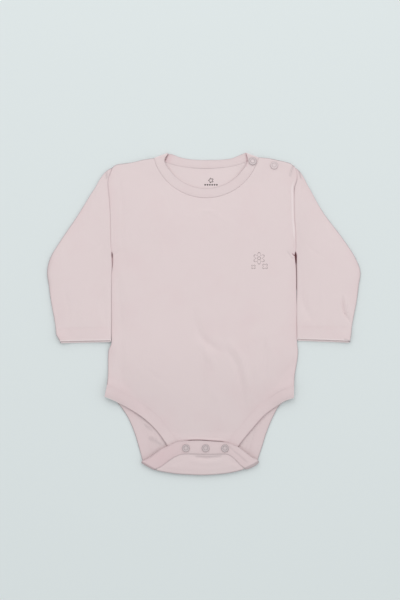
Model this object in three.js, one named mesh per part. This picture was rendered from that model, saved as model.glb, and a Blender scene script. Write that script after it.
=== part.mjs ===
// Long-sleeved baby bodysuit in cotton interlock, laid flat on its back with the crotch tab snapped up.
// Millimetres. +X is the viewer's right, +Y runs up to the neck, +Z stands off the table.
// The origin is on the table, at the middle of the outline.

import * as THREE from "three";

// Cloth and layers
const CLOTH = 1.1; // one layer of interlock
const BAND_CLOTH = 1.8; // neck and leg bands: the cloth folded on itself
const HEM_CLOTH = 1.9; // turned hem of the cuff
const SEAM_GAP = 0.3; // between pieces that are sewn together or lie on each other
const EDGE_GAP = 0.45; // the same along a curved seam
const SLEEVE_EDGE = 2.7; // height of a sleeve at its folded edges
const CUFF_EDGE = 4.7; // the same at the hem, where the mouth stands a little open
const SLEEVE_PUFF = 2.3; // how far the upper layer of a sleeve stands up in the middle
const FRONT_PUFF = 2.4; // the same for the front of the body
const BAND_RISE = BAND_CLOTH - CLOTH + 0.1; // extra height where a layer crosses a hidden band

// Grid steps
const SHOULDER_STEPS = 5;
const NECK_STEPS = 16;
const LEG_STEPS = 6;
const FOLD_STEPS = NECK_STEPS + 2 * SHOULDER_STEPS - 2 * LEG_STEPS;
const BODY_ROWS = 20;
const TURN_STEPS = 6;
const TAB_ROWS = 4;
const SLEEVE_RINGS = 16;
const ARMHOLE_ROWS = 8; // rows of the body that end at the armhole

// Front neck opening: two rings round one centre, the opening edge and the seam of the band
const NECK_CENTRE = { x: 3, y: 217.4 };
const NECK_OPENING_RADIUS = 57.3;
const NECK_SEAM_RADIUS = 69.5;
const NECK_ARC_START = THREE.MathUtils.degToRad(202.5);
const NECK_ARC_END = THREE.MathUtils.degToRad(337.5);

// Shoulder lines between the armholes and the neckband, from left to right: x, y
const SHOULDER_LEFT = [
  [-116.6, 186.8],
  [-112.4, 190.0],
  [-90.6, 193.3],
  [-76.0, 196.8],
];
const SHOULDER_RIGHT = [
  [82.2, 198.6],
  [102.7, 194.3],
  [111.0, 191.8],
  [116.4, 187.6],
];

// Back half of the neckband, from the lapped shoulder to the fold: opening x, y, seam x, y
const NECKBAND_BACK = [
  [53.4, 205.7, 70.0, 199.6],
  [45.6, 202.4, 53.6, 193.8],
  [34.1, 198.1, 39.0, 188.9],
  [9.3, 196.4, 7.1, 185.6],
  [-17.3, 197.3, -17.3, 186.5],
  [-31.6, 200.2, -33.2, 188.9],
  [-39.4, 203.3, -47.0, 192.8],
  [-45.6, 204.6, -63.2, 198.5],
];

// Side edges of the body, down from the shoulder: y, x
const SIDE_LEFT = [
  [186.8, -116.8],
  [176.0, -121.0],
  [167.0, -122.8],
  [148.0, -121.2],
  [126.0, -119.6],
  [79.0, -118.0],
  [-26.0, -117.8],
  [-37.5, -117.9],
  [-48.0, -121.9],
  [-79.0, -122.6],
  [-91.0, -123.6],
  [-107.0, -127.2],
];
const SIDE_RIGHT = [
  [187.6, 116.8],
  [180.0, 119.2],
  [172.0, 119.8],
  [160.0, 117.8],
  [79.0, 117.8],
  [-36.0, 118.9],
  [-52.0, 119.3],
  [-78.0, 117.7],
  [-97.0, 115.2],
  [-108.0, 115.0],
];

// Front leg band, from the picture's left hip round the hidden tab end to the right hip:
// leg edge x, y, seam x, y
const FRONT_BAND = [
  [-126.6, -106.0, -123.4, -90.8],
  [-111.9, -112.6, -105.6, -99.0],
  [-92.9, -123.4, -85.4, -111.2],
  [-76.5, -134.4, -67.9, -123.0],
  [-61.1, -149.1, -51.4, -138.6],
  [-50.0, -163.6, -40.0, -154.0],
  [-42.6, -175.0, -33.6, -162.6],
  [-37.0, -181.0, -28.0, -166.4],
  [-1.0, -181.6, -1.0, -166.8],
  [35.0, -181.0, 26.0, -166.4],
  [40.6, -175.0, 31.6, -162.8],
  [48.0, -164.4, 38.2, -154.4],
  [61.8, -147.8, 52.2, -137.0],
  [76.4, -131.2, 67.6, -119.6],
  [92.5, -118.8, 85.4, -106.2],
  [103.0, -111.8, 97.2, -98.6],
  [114.9, -107.6, 115.3, -92.6],
];

// Back leg band below the fold, from each hip down to the fold: leg edge x, y, seam x, y
const BACK_BAND_LEFT = [
  [-126.6, -105.8, -123.4, -90.8],
  [-112.5, -112.3, -105.5, -98.6],
  [-99.5, -129.0, -86.6, -121.2],
  [-90.0, -149.0, -76.0, -143.6],
  [-83.4, -170.0, -68.8, -166.5],
  [-78.6, -187.9, -60.6, -197.9],
];
const BACK_BAND_RIGHT = [
  [114.9, -107.4, 115.3, -92.6],
  [98.5, -115.6, 92.4, -102.2],
  [88.6, -132.5, 76.5, -124.0],
  [80.5, -152.0, 66.8, -146.4],
  [74.5, -171.0, 60.0, -168.0],
  [69.2, -187.0, 51.0, -194.9],
];

// The same band after the fold, over the arch of the tab: outer edge x, y, seam x, y
const TAB_BAND = [
  [-78.6, -187.9, -60.6, -197.9],
  [-70.0, -184.4, -54.8, -195.3],
  [-62.0, -178.6, -50.0, -192.0],
  [-53.5, -172.3, -44.5, -187.8],
  [-44.0, -168.0, -37.5, -183.2],
  [-34.0, -163.6, -29.0, -179.8],
  [-20.0, -162.2, -17.0, -179.6],
  [-4.0, -161.9, -3.0, -181.0],
  [12.0, -163.0, 10.0, -181.2],
  [25.0, -163.9, 22.0, -180.0],
  [35.0, -166.4, 31.0, -180.2],
  [44.0, -170.2, 38.0, -184.4],
  [52.0, -176.0, 43.5, -189.6],
  [60.5, -182.6, 47.4, -193.0],
  [69.2, -187.0, 51.0, -194.9],
];

// Line on which the back panel turns up at the crotch: x, y
const FOLD_LINE = [
  [-60.2, -198.1],
  [-48.0, -200.4],
  [-33.8, -202.4],
  [-16.0, -203.5],
  [1.6, -203.9],
  [26.8, -201.4],
  [40.0, -198.3],
  [50.6, -195.1],
];

// Sleeves, down from the armhole to the cuff: outer edge x, y, inner edge x, y.
// The hem is turned up as far as the last row but one.
const SLEEVE_LEFT = [
  [-117.2, 186.0, -118.4, 79.2],
  [-134.8, 164.5, -118.6, 72.0],
  [-161.0, 123.5, -118.7, 61.0],
  [-181.4, 94.1, -118.8, 49.0],
  [-196.4, 70.5, -118.8, 39.0],
  [-200.4, 53.5, -118.8, 30.0],
  [-198.4, 36.5, -118.8, 20.0],
  [-195.1, 13.4, -118.8, 6.0],
  [-191.6, -5.0, -118.8, -7.0],
  [-189.6, -18.0, -118.7, -16.0],
  [-187.9, -36.8, -118.6, -35.4],
];
const SLEEVE_RIGHT = [
  [117.4, 186.4, 118.3, 79.2],
  [131.0, 167.5, 118.5, 72.0],
  [152.4, 130.0, 118.7, 61.0],
  [176.8, 97.4, 118.9, 49.0],
  [194.2, 70.8, 119.1, 39.0],
  [200.4, 53.5, 119.2, 30.0],
  [198.4, 36.5, 119.3, 20.0],
  [195.5, 15.0, 119.4, 6.0],
  [191.8, -4.0, 119.5, -7.0],
  [189.6, -16.5, 119.6, -15.0],
  [187.8, -36.2, 119.7, -33.6],
];

// Places where every layer stands off the table: x, y, height, radius
const LIFTS = [
  [-127, -104, 2.4, 22],
  [115, -106, 2.2, 22],
  [-188, -37, 2.0, 11],
  [-120, -36, 1.0, 12],
  [188, -36, 1.2, 10],
];

// Soft folds of the upper layer: from x, y, to x, y, height (a trough is below 0), half-width
const FRONT_FOLDS = [
  [36, -40, 49, -58, 0.9, 9],
  [49, -58, 55, -86, 1.1, 9],
  [55, -86, 58, -114, 0.9, 9],
  [77, -38, 77, -74, -0.9, 8],
  [-12, 2, -4, -28, -0.8, 9],
  [-4, -28, 22, -49, -0.9, 9],
  [2, -47, 11, -64, 0.7, 7],
  [-104, 44, -106, -84, -0.9, 8],
  [108, -72, 98, -96, -1.1, 9],
  [-60, 60, -52, 150, 0.5, 14],
  [40, 20, 72, 120, 0.4, 16],
];
const SLEEVE_FOLDS = [
  [-136, 146, -166, 96, 0.9, 10],
  [-128, 92, -150, 70, -0.9, 9],
  [-186, 62, -150, 40, 0.8, 8],
  [-150, 30, -158, -20, 0.6, 10],
  [134, 152, 160, 104, 0.9, 10],
  [126, 176, 126, 152, -0.8, 7],
  [128, 90, 152, 66, -0.9, 9],
  [186, 60, 150, 36, 0.8, 8],
  [174, 6, 186, -16, 1.0, 7],
];

// Snaps: x, y of the middle
const SNAP_NECK = [62.4, 194.6];
const SNAP_ARM = [90.0, 189.4];
const SNAP_CROTCH = [
  [-22.8, -171.5],
  [2.4, -171.5],
  [27.1, -171.7],
];
const SNAP_SEAT = 0.12;
// Half outline of a ring snap: radius, height
const SNAP_PROFILE = [
  [0, 0],
  [4.8, 0],
  [4.9, 0.5],
  [4.3, 1.0],
  [3.4, 0.95],
  [2.7, 0.45],
  [1.5, 0.5],
  [0, 0.75],
];
const SNAP_SIDES = 18;

const vec = (x, y, z = 0) => new THREE.Vector3(x, y, z);
const mix = THREE.MathUtils.lerp;
const smooth = (value, from, to) => THREE.MathUtils.smoothstep(value, from, to);
const curveOf = (points) => new THREE.CatmullRomCurve3(points, false, "centripetal");
const curveXY = (rows) => curveOf(rows.map(([x, y]) => vec(x, y)));

// Both edges of a band whose rows are: outer x, y, seam x, y
const bandEdges = (rows) => ({
  outer: curveOf(rows.map((row) => vec(row[0], row[1]))),
  seam: curveOf(rows.map((row) => vec(row[2], row[3]))),
});

// The x of a side edge at height y, on a smooth line through its rows.
function sideX(rows, y) {
  const last = rows.length - 1;
  let k = 0;
  while (k < last - 1 && y < rows[k + 1][0]) k += 1;
  const slope = (a, b) => (rows[b][1] - rows[a][1]) / (rows[b][0] - rows[a][0]);
  const span = rows[k + 1][0] - rows[k][0];
  const t = THREE.MathUtils.clamp((y - rows[k][0]) / span, 0, 1);
  const startSlope = slope(Math.max(k - 1, 0), k + 1) * span;
  const endSlope = slope(k, Math.min(k + 2, last)) * span;
  const t2 = t * t;
  const t3 = t2 * t;
  return (
    (2 * t3 - 3 * t2 + 1) * rows[k][1] +
    (t3 - 2 * t2 + t) * startSlope +
    (3 * t2 - 2 * t3) * rows[k + 1][1] +
    (t3 - t2) * endSlope
  );
}

// How far all layers stand off the table at a place.
function liftAt(x, y) {
  return LIFTS.reduce((sum, [cx, cy, height, radius]) => {
    const distance = Math.hypot(x - cx, y - cy) / radius;
    return sum + height * (1 - smooth(distance, 0, 2));
  }, 0);
}

// Sum of the soft folds of one list at a place.
function foldsAt(folds, x, y) {
  return folds.reduce((sum, [x0, y0, x1, y1, height, width]) => {
    const along = (x - x0) * (x1 - x0) + (y - y0) * (y1 - y0);
    const t = THREE.MathUtils.clamp(along / ((x1 - x0) ** 2 + (y1 - y0) ** 2), 0, 1);
    const off = Math.hypot(x - mix(x0, x1, t), y - mix(y0, y1, t)) / width;
    return sum + height * Math.exp(-off * off);
  }, 0);
}

// Underside of the front layer: it lies on the back panel, or on a band of the back.
function frontUnderside(x, y) {
  const fromNeck = Math.hypot(x - NECK_CENTRE.x, y - NECK_CENTRE.y);
  const overNeckband = smooth(y, 166, 183) * (1 - smooth(fromNeck, 72, 96));
  const overLegBand = 1 - smooth(y, -88, -68);
  return CLOTH + SEAM_GAP + BAND_RISE * Math.max(overNeckband, overLegBand);
}

// Height that air and soft folds give the front, none of it at seams, bands and snaps.
function frontRelief(x, y) {
  const fromNeck = Math.hypot(x - NECK_CENTRE.x, y - NECK_CENTRE.y);
  const sides = smooth(x, sideX(SIDE_LEFT, y), -72) * (1 - smooth(x, 70, sideX(SIDE_RIGHT, y)));
  const ends = (1 - smooth(y, 110, 184)) * smooth(y, -156, -96) * smooth(fromNeck, 69, 112);
  const puff = FRONT_PUFF * Math.sqrt(sides * ends);
  return Math.max(0, puff + foldsAt(FRONT_FOLDS, x, y) * Math.min(1, 3 * sides * ends));
}

// A closed mesh with its faces pointing out, from corner points and triangles.
function closedMesh(name, points, triangles, material) {
  const volume = triangles.reduce((sum, [a, b, c]) => {
    return sum + points[a].dot(points[b].clone().cross(points[c])) / 6;
  }, 0);
  const turned = volume < 0 ? triangles.map(([a, b, c]) => [a, c, b]) : triangles;
  const geometry = new THREE.BufferGeometry().setFromPoints(points);
  geometry.setIndex(turned.flat());
  geometry.computeVertexNormals();
  const mesh = new THREE.Mesh(geometry, material);
  mesh.name = name;
  return mesh;
}

// Two triangles over four corners in order, split along the shorter diagonal.
function quad(points, a, b, c, d) {
  const short = points[a].distanceToSquared(points[c]) <= points[b].distanceToSquared(points[d]);
  return short
    ? [
        [a, b, c],
        [a, c, d],
      ]
    : [
        [a, b, d],
        [b, c, d],
      ];
}

// A sheet with thickness. grid[row][column] holds middle points, null where the sheet ends early.
function clothSheet(name, grid, thickness, material) {
  const at = (j, i) => (grid[j] && grid[j][i]) || null;
  const index = new Map();
  const points = [];
  grid.forEach((row, j) => row.forEach((point, i) => point && index.set(`${j},${i}`, index.size)));
  const half = index.size;
  const faces = [];
  grid.forEach((row, j) =>
    row.forEach((point, i) => {
      if (!point) return;
      const across = (at(j, i + 1) || point).clone().sub(at(j, i - 1) || point);
      const down = (at(j + 1, i) || point).clone().sub(at(j - 1, i) || point);
      const offset = down.cross(across).setLength(thickness / 2);
      points[index.get(`${j},${i}`)] = point.clone().add(offset);
      points[index.get(`${j},${i}`) + half] = point.clone().sub(offset);
    }),
  );
  const edges = new Map();
  for (let j = 0; j + 1 < grid.length; j += 1) {
    for (let i = 0; i + 1 < grid[j].length; i += 1) {
      const corners = [at(j, i), at(j + 1, i), at(j + 1, i + 1), at(j, i + 1)];
      if (corners.some((corner) => !corner)) continue;
      const ids = [
        [j, i],
        [j + 1, i],
        [j + 1, i + 1],
        [j, i + 1],
      ].map((key) => index.get(key.join(",")));
      quad(points, ...ids).forEach(([a, b, c]) => {
        faces.push([a, b, c], [a + half, c + half, b + half]);
      });
      ids.forEach((from, k) => {
        const to = ids[(k + 1) % 4];
        if (!edges.delete(`${to},${from}`)) edges.set(`${from},${to}`, [from, to]);
      });
    }
  }
  edges.forEach(([from, to]) => {
    faces.push(...quad(points, to, from, from + half, to + half));
  });
  return closedMesh(name, points, faces, material);
}

// A tube of cloth, open at both ends, from rings of outer points and a wall for each ring.
function clothTube(name, rings, walls, material) {
  const count = rings[0].length;
  const inner = rings.map((ring, j) =>
    ring.map((point, i) => {
      const around = ring[(i + 1) % count].clone().sub(ring[(i + count - 1) % count]);
      const before = rings[Math.max(j - 1, 0)][i];
      const after = rings[Math.min(j + 1, rings.length - 1)][i];
      const along = after.clone().sub(before);
      const mouth = ring[0].clone().sub(ring[count >> 1]).cross(vec(0, 0, 1));
      if (j === 0 || j === rings.length - 1) along.projectOnVector(mouth);
      return around.cross(along).normalize();
    }),
  );
  const turn = inner[2][2].z > 0 ? 1 : -1;
  const points = rings.flat().map((point) => point.clone());
  rings.forEach((ring, j) =>
    ring.forEach((point, i) => {
      points.push(point.clone().addScaledVector(inner[j][i], turn * walls[j]));
    }),
  );
  const half = rings.length * count;
  const faces = [];
  for (let i = 0; i < count; i += 1) {
    const next = (i + 1) % count;
    for (let j = 0; j + 1 < rings.length; j += 1) {
      const a = j * count + i;
      const b = j * count + next;
      quad(points, a, b, b + count, a + count).forEach(([p, q, r]) => {
        faces.push([p, q, r], [p + half, r + half, q + half]);
      });
    }
    const last = (rings.length - 1) * count;
    faces.push(...quad(points, next, i, i + half, next + half));
    faces.push(...quad(points, last + i, last + next, last + next + half, last + i + half));
  }
  return closedMesh(name, points, faces, material);
}

// Rows of a half turn over a fold line, between its lower and its upper layer.
function foldTurn(line, outwards, low, high) {
  const radius = (high - low) / 2;
  const rows = [];
  for (let k = 1; k < TURN_STEPS; k += 1) {
    const angle = (Math.PI * k) / TURN_STEPS;
    const reach = radius * Math.sin(angle);
    rows.push(
      line.map((point, i) => {
        const out = outwards[i];
        return vec(point.x + out.x * reach, point.y + out.y * reach, low + radius * (1 - Math.cos(angle)));
      }),
    );
  }
  return rows;
}

// Outward direction at each point of a fold line; the body lies on its other side.
function outwardsOf(line, body) {
  return line.map((point, i) => {
    const before = line[Math.max(i - 1, 0)];
    const after = line[Math.min(i + 1, line.length - 1)];
    const normal = vec(before.y - after.y, after.x - before.x).normalize();
    return normal.dot(body.clone().sub(point)) > 0 ? normal.negate() : normal;
  });
}

// Rows of points across a band, at steps along it.
function bandRows(rows, steps, across, height) {
  const { outer, seam } = bandEdges(rows);
  return Array.from({ length: steps + 1 }, (_, j) => {
    const a = outer.getPoint(j / steps);
    const b = seam.getPoint(j / steps);
    return Array.from({ length: across + 1 }, (_, i) => {
      const point = a.clone().lerp(b, i / across);
      return point.setZ(height(point.x, point.y));
    });
  });
}

// Edge of the panel that a band is sewn to: the corners of the band's seam, moved off it.
function besideBand(rows, steps) {
  const { outer, seam } = bandEdges(rows);
  return Array.from({ length: steps + 1 }, (_, k) => {
    const point = seam.getPoint(k / steps);
    const away = point.clone().sub(outer.getPoint(k / steps)).setLength(EDGE_GAP);
    return point.add(away);
  });
}

// A body panel between its top, bottom and side edges. Each point is blended from the four.
function panelGrid(top, bottom, rows, height) {
  const last = top.length - 1;
  const sideMove = (side, i, v) => {
    const straight = top[i].clone().lerp(bottom[i], v);
    const missed = (corner) => corner.x - sideX(side, corner.y);
    return sideX(side, straight.y) + mix(missed(top[i]), missed(bottom[i]), v) - straight.x;
  };
  return Array.from({ length: rows + 1 }, (_, j) => {
    const v = j / rows;
    return top.map((point, i) => {
      const u = i / last;
      const middle = point.clone().lerp(bottom[i], v);
      middle.x += mix(sideMove(SIDE_LEFT, 0, v), sideMove(SIDE_RIGHT, last, v), u);
      return middle.setZ(height(middle.x, middle.y));
    });
  });
}

// Front half of the neckband, from the fold to the lap: opening x, y, seam x, y
function neckbandFrontRows() {
  const ring = (radius, angle) => [
    NECK_CENTRE.x + radius * Math.cos(angle),
    NECK_CENTRE.y + radius * Math.sin(angle),
  ];
  const arc = Array.from({ length: 9 }, (_, k) => {
    const angle = mix(NECK_ARC_START, NECK_ARC_END, k / 8);
    return [...ring(NECK_OPENING_RADIUS, angle), ...ring(NECK_SEAM_RADIUS, angle)];
  });
  return [NECKBAND_BACK[NECKBAND_BACK.length - 1], ...arc, NECKBAND_BACK[0]];
}

// Top edge of a body panel: both shoulder lines, and the neckband's seam between them.
function topEdge(bandRowsOfNeck) {
  const neck = besideBand(bandRowsOfNeck, NECK_STEPS);
  if (neck[0].x > 0) neck.reverse();
  const line = (points) => curveOf(points).getSpacedPoints(SHOULDER_STEPS);
  const left = line([...SHOULDER_LEFT.map(([x, y]) => vec(x, y)), neck[0]]);
  const right = line([neck[NECK_STEPS], ...SHOULDER_RIGHT.map(([x, y]) => vec(x, y))]);
  return [...left, ...neck.slice(1, -1), ...right];
}

const cloth = () => new THREE.MeshStandardMaterial({ color: 0xecd8d7, roughness: 0.92, metalness: 0 });
const bandCloth = () => new THREE.MeshStandardMaterial({ color: 0xe9d2d2, roughness: 0.92, metalness: 0 });
const enamel = () => new THREE.MeshStandardMaterial({ color: 0xd2bcc0, roughness: 0.42, metalness: 0.25 });

function frontPanelGrid() {
  const top = topEdge(neckbandFrontRows());
  const bottom = besideBand(FRONT_BAND, top.length - 1);
  const height = (x, y) => frontUnderside(x, y) + CLOTH / 2 + frontRelief(x, y) + liftAt(x, y);
  return panelGrid(top, bottom, BODY_ROWS, height);
}

function backPanel() {
  const top = topEdge(NECKBAND_BACK);
  const legLeft = besideBand(BACK_BAND_LEFT, LEG_STEPS);
  const legRight = besideBand(BACK_BAND_RIGHT, LEG_STEPS).reverse();
  const fold = curveXY(FOLD_LINE).getSpacedPoints(FOLD_STEPS);
  const bottom = [...legLeft.slice(0, -1), ...fold, ...legRight.slice(1)];
  const low = CLOTH / 2;
  const high = CLOTH + 2 * SEAM_GAP + BAND_RISE + BAND_CLOTH + CLOTH / 2;
  const grid = panelGrid(top, bottom, BODY_ROWS, (x, y) => low + liftAt(x, y));
  const arch = besideBand(TAB_BAND, FOLD_STEPS);
  arch[0].lerp(arch[1], 0.25);
  arch[FOLD_STEPS].lerp(arch[FOLD_STEPS - 1], 0.25);
  const upper = Array.from({ length: TAB_ROWS + 1 }, (_, j) =>
    fold.map((point, i) => point.clone().lerp(arch[i], j / TAB_ROWS).setZ(high)),
  );
  const tab = [...foldTurn(fold, outwardsOf(fold, vec(0, 0)), low, high), ...upper];
  const before = Array(LEG_STEPS).fill(null);
  const folded = tab.map((row) => [...before, ...row, ...before]);
  return clothSheet("back_panel", [...grid, ...folded], CLOTH, cloth());
}

function neckband() {
  const low = BAND_CLOTH / 2;
  const front = (x, y) => frontUnderside(x, y) + frontRelief(x, y) + BAND_CLOTH / 2;
  const back = bandRows(NECKBAND_BACK, NECK_STEPS, 3, () => low);
  const line = back[back.length - 1];
  const turn = foldTurn(line, outwardsOf(line, vec(0, 0)), low, front(line[1].x, line[1].y));
  const over = bandRows(neckbandFrontRows(), NECK_STEPS, 3, front);
  return clothSheet("neckband", [...back, ...turn, ...over], BAND_CLOTH, bandCloth());
}

function legBandFront() {
  const height = (x, y) => frontUnderside(x, y) + BAND_CLOTH / 2 + liftAt(x, y);
  const steps = NECK_STEPS + 2 * SHOULDER_STEPS;
  const rows = bandRows(FRONT_BAND, steps, 2, height);
  return clothSheet("leg_band_front", rows, BAND_CLOTH, bandCloth());
}

function legBandBack() {
  const low = BAND_CLOTH / 2;
  const high = CLOTH + 2 * SEAM_GAP + BAND_RISE + BAND_CLOTH + BAND_CLOTH / 2;
  const lower = (x, y) => low + liftAt(x, y);
  const left = bandRows(BACK_BAND_LEFT, LEG_STEPS, 2, lower);
  const right = bandRows(BACK_BAND_RIGHT, LEG_STEPS, 2, lower).reverse();
  const tab = bandRows(TAB_BAND, FOLD_STEPS, 2, () => high);
  const turnOf = (line) => foldTurn(line, outwardsOf(line, vec(0, 0)), low, high);
  const turnLeft = turnOf(left[left.length - 1]);
  const turnRight = turnOf(right[0]).reverse();
  const grid = [...left, ...turnLeft, ...tab, ...turnRight, ...right];
  return clothSheet("leg_band_back", grid, BAND_CLOTH, bandCloth());
}

// One sleeve, as a flattened tube from the armhole seam to the cuff. Its first ring follows the
// body's side edge, given from the shoulder down.
function sleeve(name, rows, sideEdge) {
  const sign = Math.sign(rows[0][0]);
  const { outer, seam: inner } = bandEdges(rows);
  const hemStart = 1 - 1 / (rows.length - 1);
  const [startY, endY] = [rows[0][3], rows[0][1]];
  const steps = sideEdge.slice(1, ARMHOLE_ROWS + 1).reverse();
  const shares = [...steps.map((point) => (point.y - startY) / (endY - startY)), 1];
  const edgeX = (y) => {
    let k = 0;
    while (k < ARMHOLE_ROWS && y < sideEdge[k + 1].y) k += 1;
    const t = (sideEdge[k].y - y) / (sideEdge[k].y - sideEdge[k + 1].y);
    return mix(sideEdge[k].x, sideEdge[k + 1].x, t) + sign * EDGE_GAP;
  };
  const rings = [];
  const walls = [];
  for (let j = 0; j <= SLEEVE_RINGS; j += 1) {
    const t = j / SLEEVE_RINGS;
    const from = inner.getPoint(t);
    const to = outer.getPoint(t);
    const length = from.distanceTo(to);
    const cuff = smooth(t, hemStart - 0.12, hemStart);
    const edge = mix(SLEEVE_EDGE, CUFF_EDGE, cuff);
    const radius = edge / 2;
    const puff = SLEEVE_PUFF * smooth(t, -0.05, 0.3) * mix(1, 0.55, cuff);
    const seamPull = 1 - smooth(t, 0, 0.3);
    const place = (along, z) => {
      const point = from.clone().lerp(to, along / length);
      const straight = mix(rows[0][2], rows[0][0], along / length);
      const seamX = edgeX(mix(startY, endY, along / length));
      point.x += seamPull * (seamX - straight);
      return point.setZ(z + liftAt(point.x, point.y));
    };
    const topAt = (along) => {
      const across = Math.sin((Math.PI * along) / length) ** 0.7;
      const spot = place(along, 0);
      const folds = foldsAt(SLEEVE_FOLDS, spot.x, spot.y) * Math.min(1, 1.6 * across);
      return edge + Math.max(0, across * puff + folds * smooth(t, 0, 0.12));
    };
    const turn = (middle, angle) =>
      place(middle + radius * Math.cos(angle), radius * (1 + Math.sin(angle)));
    const inside = (along) => THREE.MathUtils.clamp(along, radius, length - radius);
    const lengths = shares.map((share) => inside(share * length));
    const turns = [-Math.PI / 4, 0, Math.PI / 4];
    rings.push([
      ...lengths.map((along) => place(along, 0)),
      ...turns.map((angle) => turn(length - radius, angle)),
      ...lengths.reverse().map((along) => place(along, topAt(along))),
      ...turns.map((angle) => turn(radius, Math.PI + angle)),
    ]);
    walls.push(mix(CLOTH, HEM_CLOTH, smooth(t, hemStart - 0.02, hemStart + 0.02)));
  }
  return clothTube(name, rings, walls, cloth());
}

// A ring snap, pressed onto the layer whose top is at this height.
function snap(name, [x, y], top) {
  const profile = SNAP_PROFILE.map(([radius, height]) => new THREE.Vector2(radius, height));
  const mesh = new THREE.Mesh(new THREE.LatheGeometry(profile, SNAP_SIDES), enamel());
  mesh.geometry.rotateX(Math.PI / 2);
  mesh.position.set(x, y, top + SNAP_SEAT);
  mesh.name = name;
  return mesh;
}

const neckTop = frontUnderside(...SNAP_NECK) + BAND_CLOTH;
const shoulderTop = frontUnderside(SNAP_ARM[0] - 5, SNAP_ARM[1]) + frontRelief(...SNAP_ARM) + CLOTH;
const tabTop = CLOTH + 2 * SEAM_GAP + BAND_RISE + 2 * BAND_CLOTH;

const frontGrid = frontPanelGrid();
const leftEdge = frontGrid.map((row) => row[0]);
const rightEdge = frontGrid.map((row) => row[row.length - 1]);

const bodysuit = new THREE.Group();
bodysuit.name = "bodysuit";
bodysuit.add(
  backPanel(),
  clothSheet("front_panel", frontGrid, CLOTH, cloth()),
  sleeve("sleeve_right", SLEEVE_LEFT, leftEdge),
  sleeve("sleeve_left", SLEEVE_RIGHT, rightEdge),
  neckband(),
  legBandFront(),
  legBandBack(),
  snap("shoulder_snap_neck", SNAP_NECK, neckTop),
  snap("shoulder_snap_arm", SNAP_ARM, shoulderTop),
  ...SNAP_CROTCH.map((spot, k) => snap(`crotch_snap_${k + 1}`, spot, tabTop)),
);

export default bodysuit;
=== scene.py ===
# %% [markdown]
# # A long-sleeved baby bodysuit, laid flat
#
# The garment is soft cotton interlock, a thin double knit. It lies on its back with the sleeves
# beside the body and the crotch tab snapped up over the front. This script dresses the plain
# solids of the part: each piece of cloth is cut as a fine grid, laid along the same outline as its
# solid, given its thickness, and pressed into the soft folds that the real one has.
# All sizes below are in millimetres. +X is the viewer's right, +Y runs up to the neck, +Z is up.

import math

import bmesh
import bpy
import numpy as np
from mathutils import Matrix, Vector


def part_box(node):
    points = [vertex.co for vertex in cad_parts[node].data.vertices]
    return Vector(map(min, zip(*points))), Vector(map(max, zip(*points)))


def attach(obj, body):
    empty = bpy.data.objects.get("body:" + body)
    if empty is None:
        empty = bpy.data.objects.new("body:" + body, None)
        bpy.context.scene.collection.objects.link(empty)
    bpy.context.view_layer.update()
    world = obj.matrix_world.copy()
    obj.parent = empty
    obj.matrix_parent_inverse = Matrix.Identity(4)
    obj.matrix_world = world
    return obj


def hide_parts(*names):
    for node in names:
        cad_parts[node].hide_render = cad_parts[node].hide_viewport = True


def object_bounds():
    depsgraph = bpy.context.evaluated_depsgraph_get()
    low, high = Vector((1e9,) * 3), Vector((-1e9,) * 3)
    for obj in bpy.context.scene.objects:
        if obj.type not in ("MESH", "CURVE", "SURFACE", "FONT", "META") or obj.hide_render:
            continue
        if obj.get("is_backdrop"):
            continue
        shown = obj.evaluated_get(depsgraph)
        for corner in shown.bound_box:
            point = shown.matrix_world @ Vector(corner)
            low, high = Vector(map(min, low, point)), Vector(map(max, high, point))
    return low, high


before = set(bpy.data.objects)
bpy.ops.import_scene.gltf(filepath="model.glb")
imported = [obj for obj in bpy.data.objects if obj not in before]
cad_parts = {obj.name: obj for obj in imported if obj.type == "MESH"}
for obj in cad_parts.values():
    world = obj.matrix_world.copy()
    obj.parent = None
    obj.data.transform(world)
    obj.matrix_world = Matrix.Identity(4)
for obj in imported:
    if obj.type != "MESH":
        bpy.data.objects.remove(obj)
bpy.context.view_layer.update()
MM = 0.001
print("solids:", sorted(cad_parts))

# %% [markdown]
# ## Thickness of the cloth and the way the layers lie
#
# One layer of interlock is about 1.1 mm thick. The bands at neck and legs are the same cloth folded
# on itself, and the cuffs have a turned hem, so both are nearly two layers. Layers that lie on each
# other keep a hair of air between them. A band is pressed flatter than its two layers would be, and
# the lower half of the garment lies in a slightly greyer light, which LEG_GREY stands for.

# %% Thickness of the cloth and the way the layers lie
CLOTH, BAND_CLOTH, HEM_CLOTH = 1.1, 1.8, 1.9
SEAM_GAP, EDGE_GAP = 0.3, 0.08
BAND_RISE = BAND_CLOTH - CLOTH + 0.1
LEG_BAND_PRESSED, NECK_BAND_PRESSED, TAB_BAND_PRESSED = 1.3, 1.35, 1.6
SLEEVE_EDGE, CUFF_EDGE, SLEEVE_PUFF, FRONT_PUFF = 2.5, 3.9, 2.3, 2.4
LEG_GREY = 0.1
TAB_LOW = CLOTH + 2 * SEAM_GAP + BAND_RISE + BAND_CLOTH
NECK_CENTRE = np.array([3.0, 217.4])
NECK_OPENING_RADIUS, NECK_SEAM_RADIUS = 57.3, 69.5
NECK_ARC = np.radians([202.5, 337.5])
NECK_FROM, NECK_TO = 5 / 26, 21 / 26  # the neck seam's share of a panel's width
BODY_WIDTH, SLEEVE_LENGTH = 236, 190
FOLD_COLUMNS = 85

# %% [markdown]
# ## The outline, as measured
#
# Rows of points along every edge: the shoulders, the sides, the bands (their free edge and their
# seam), the fold at the crotch and the two edges of each sleeve. Left and right are the viewer's in
# these names. LIFTS are the places where the cloth stands off the table: x, y, height, reach.

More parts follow.
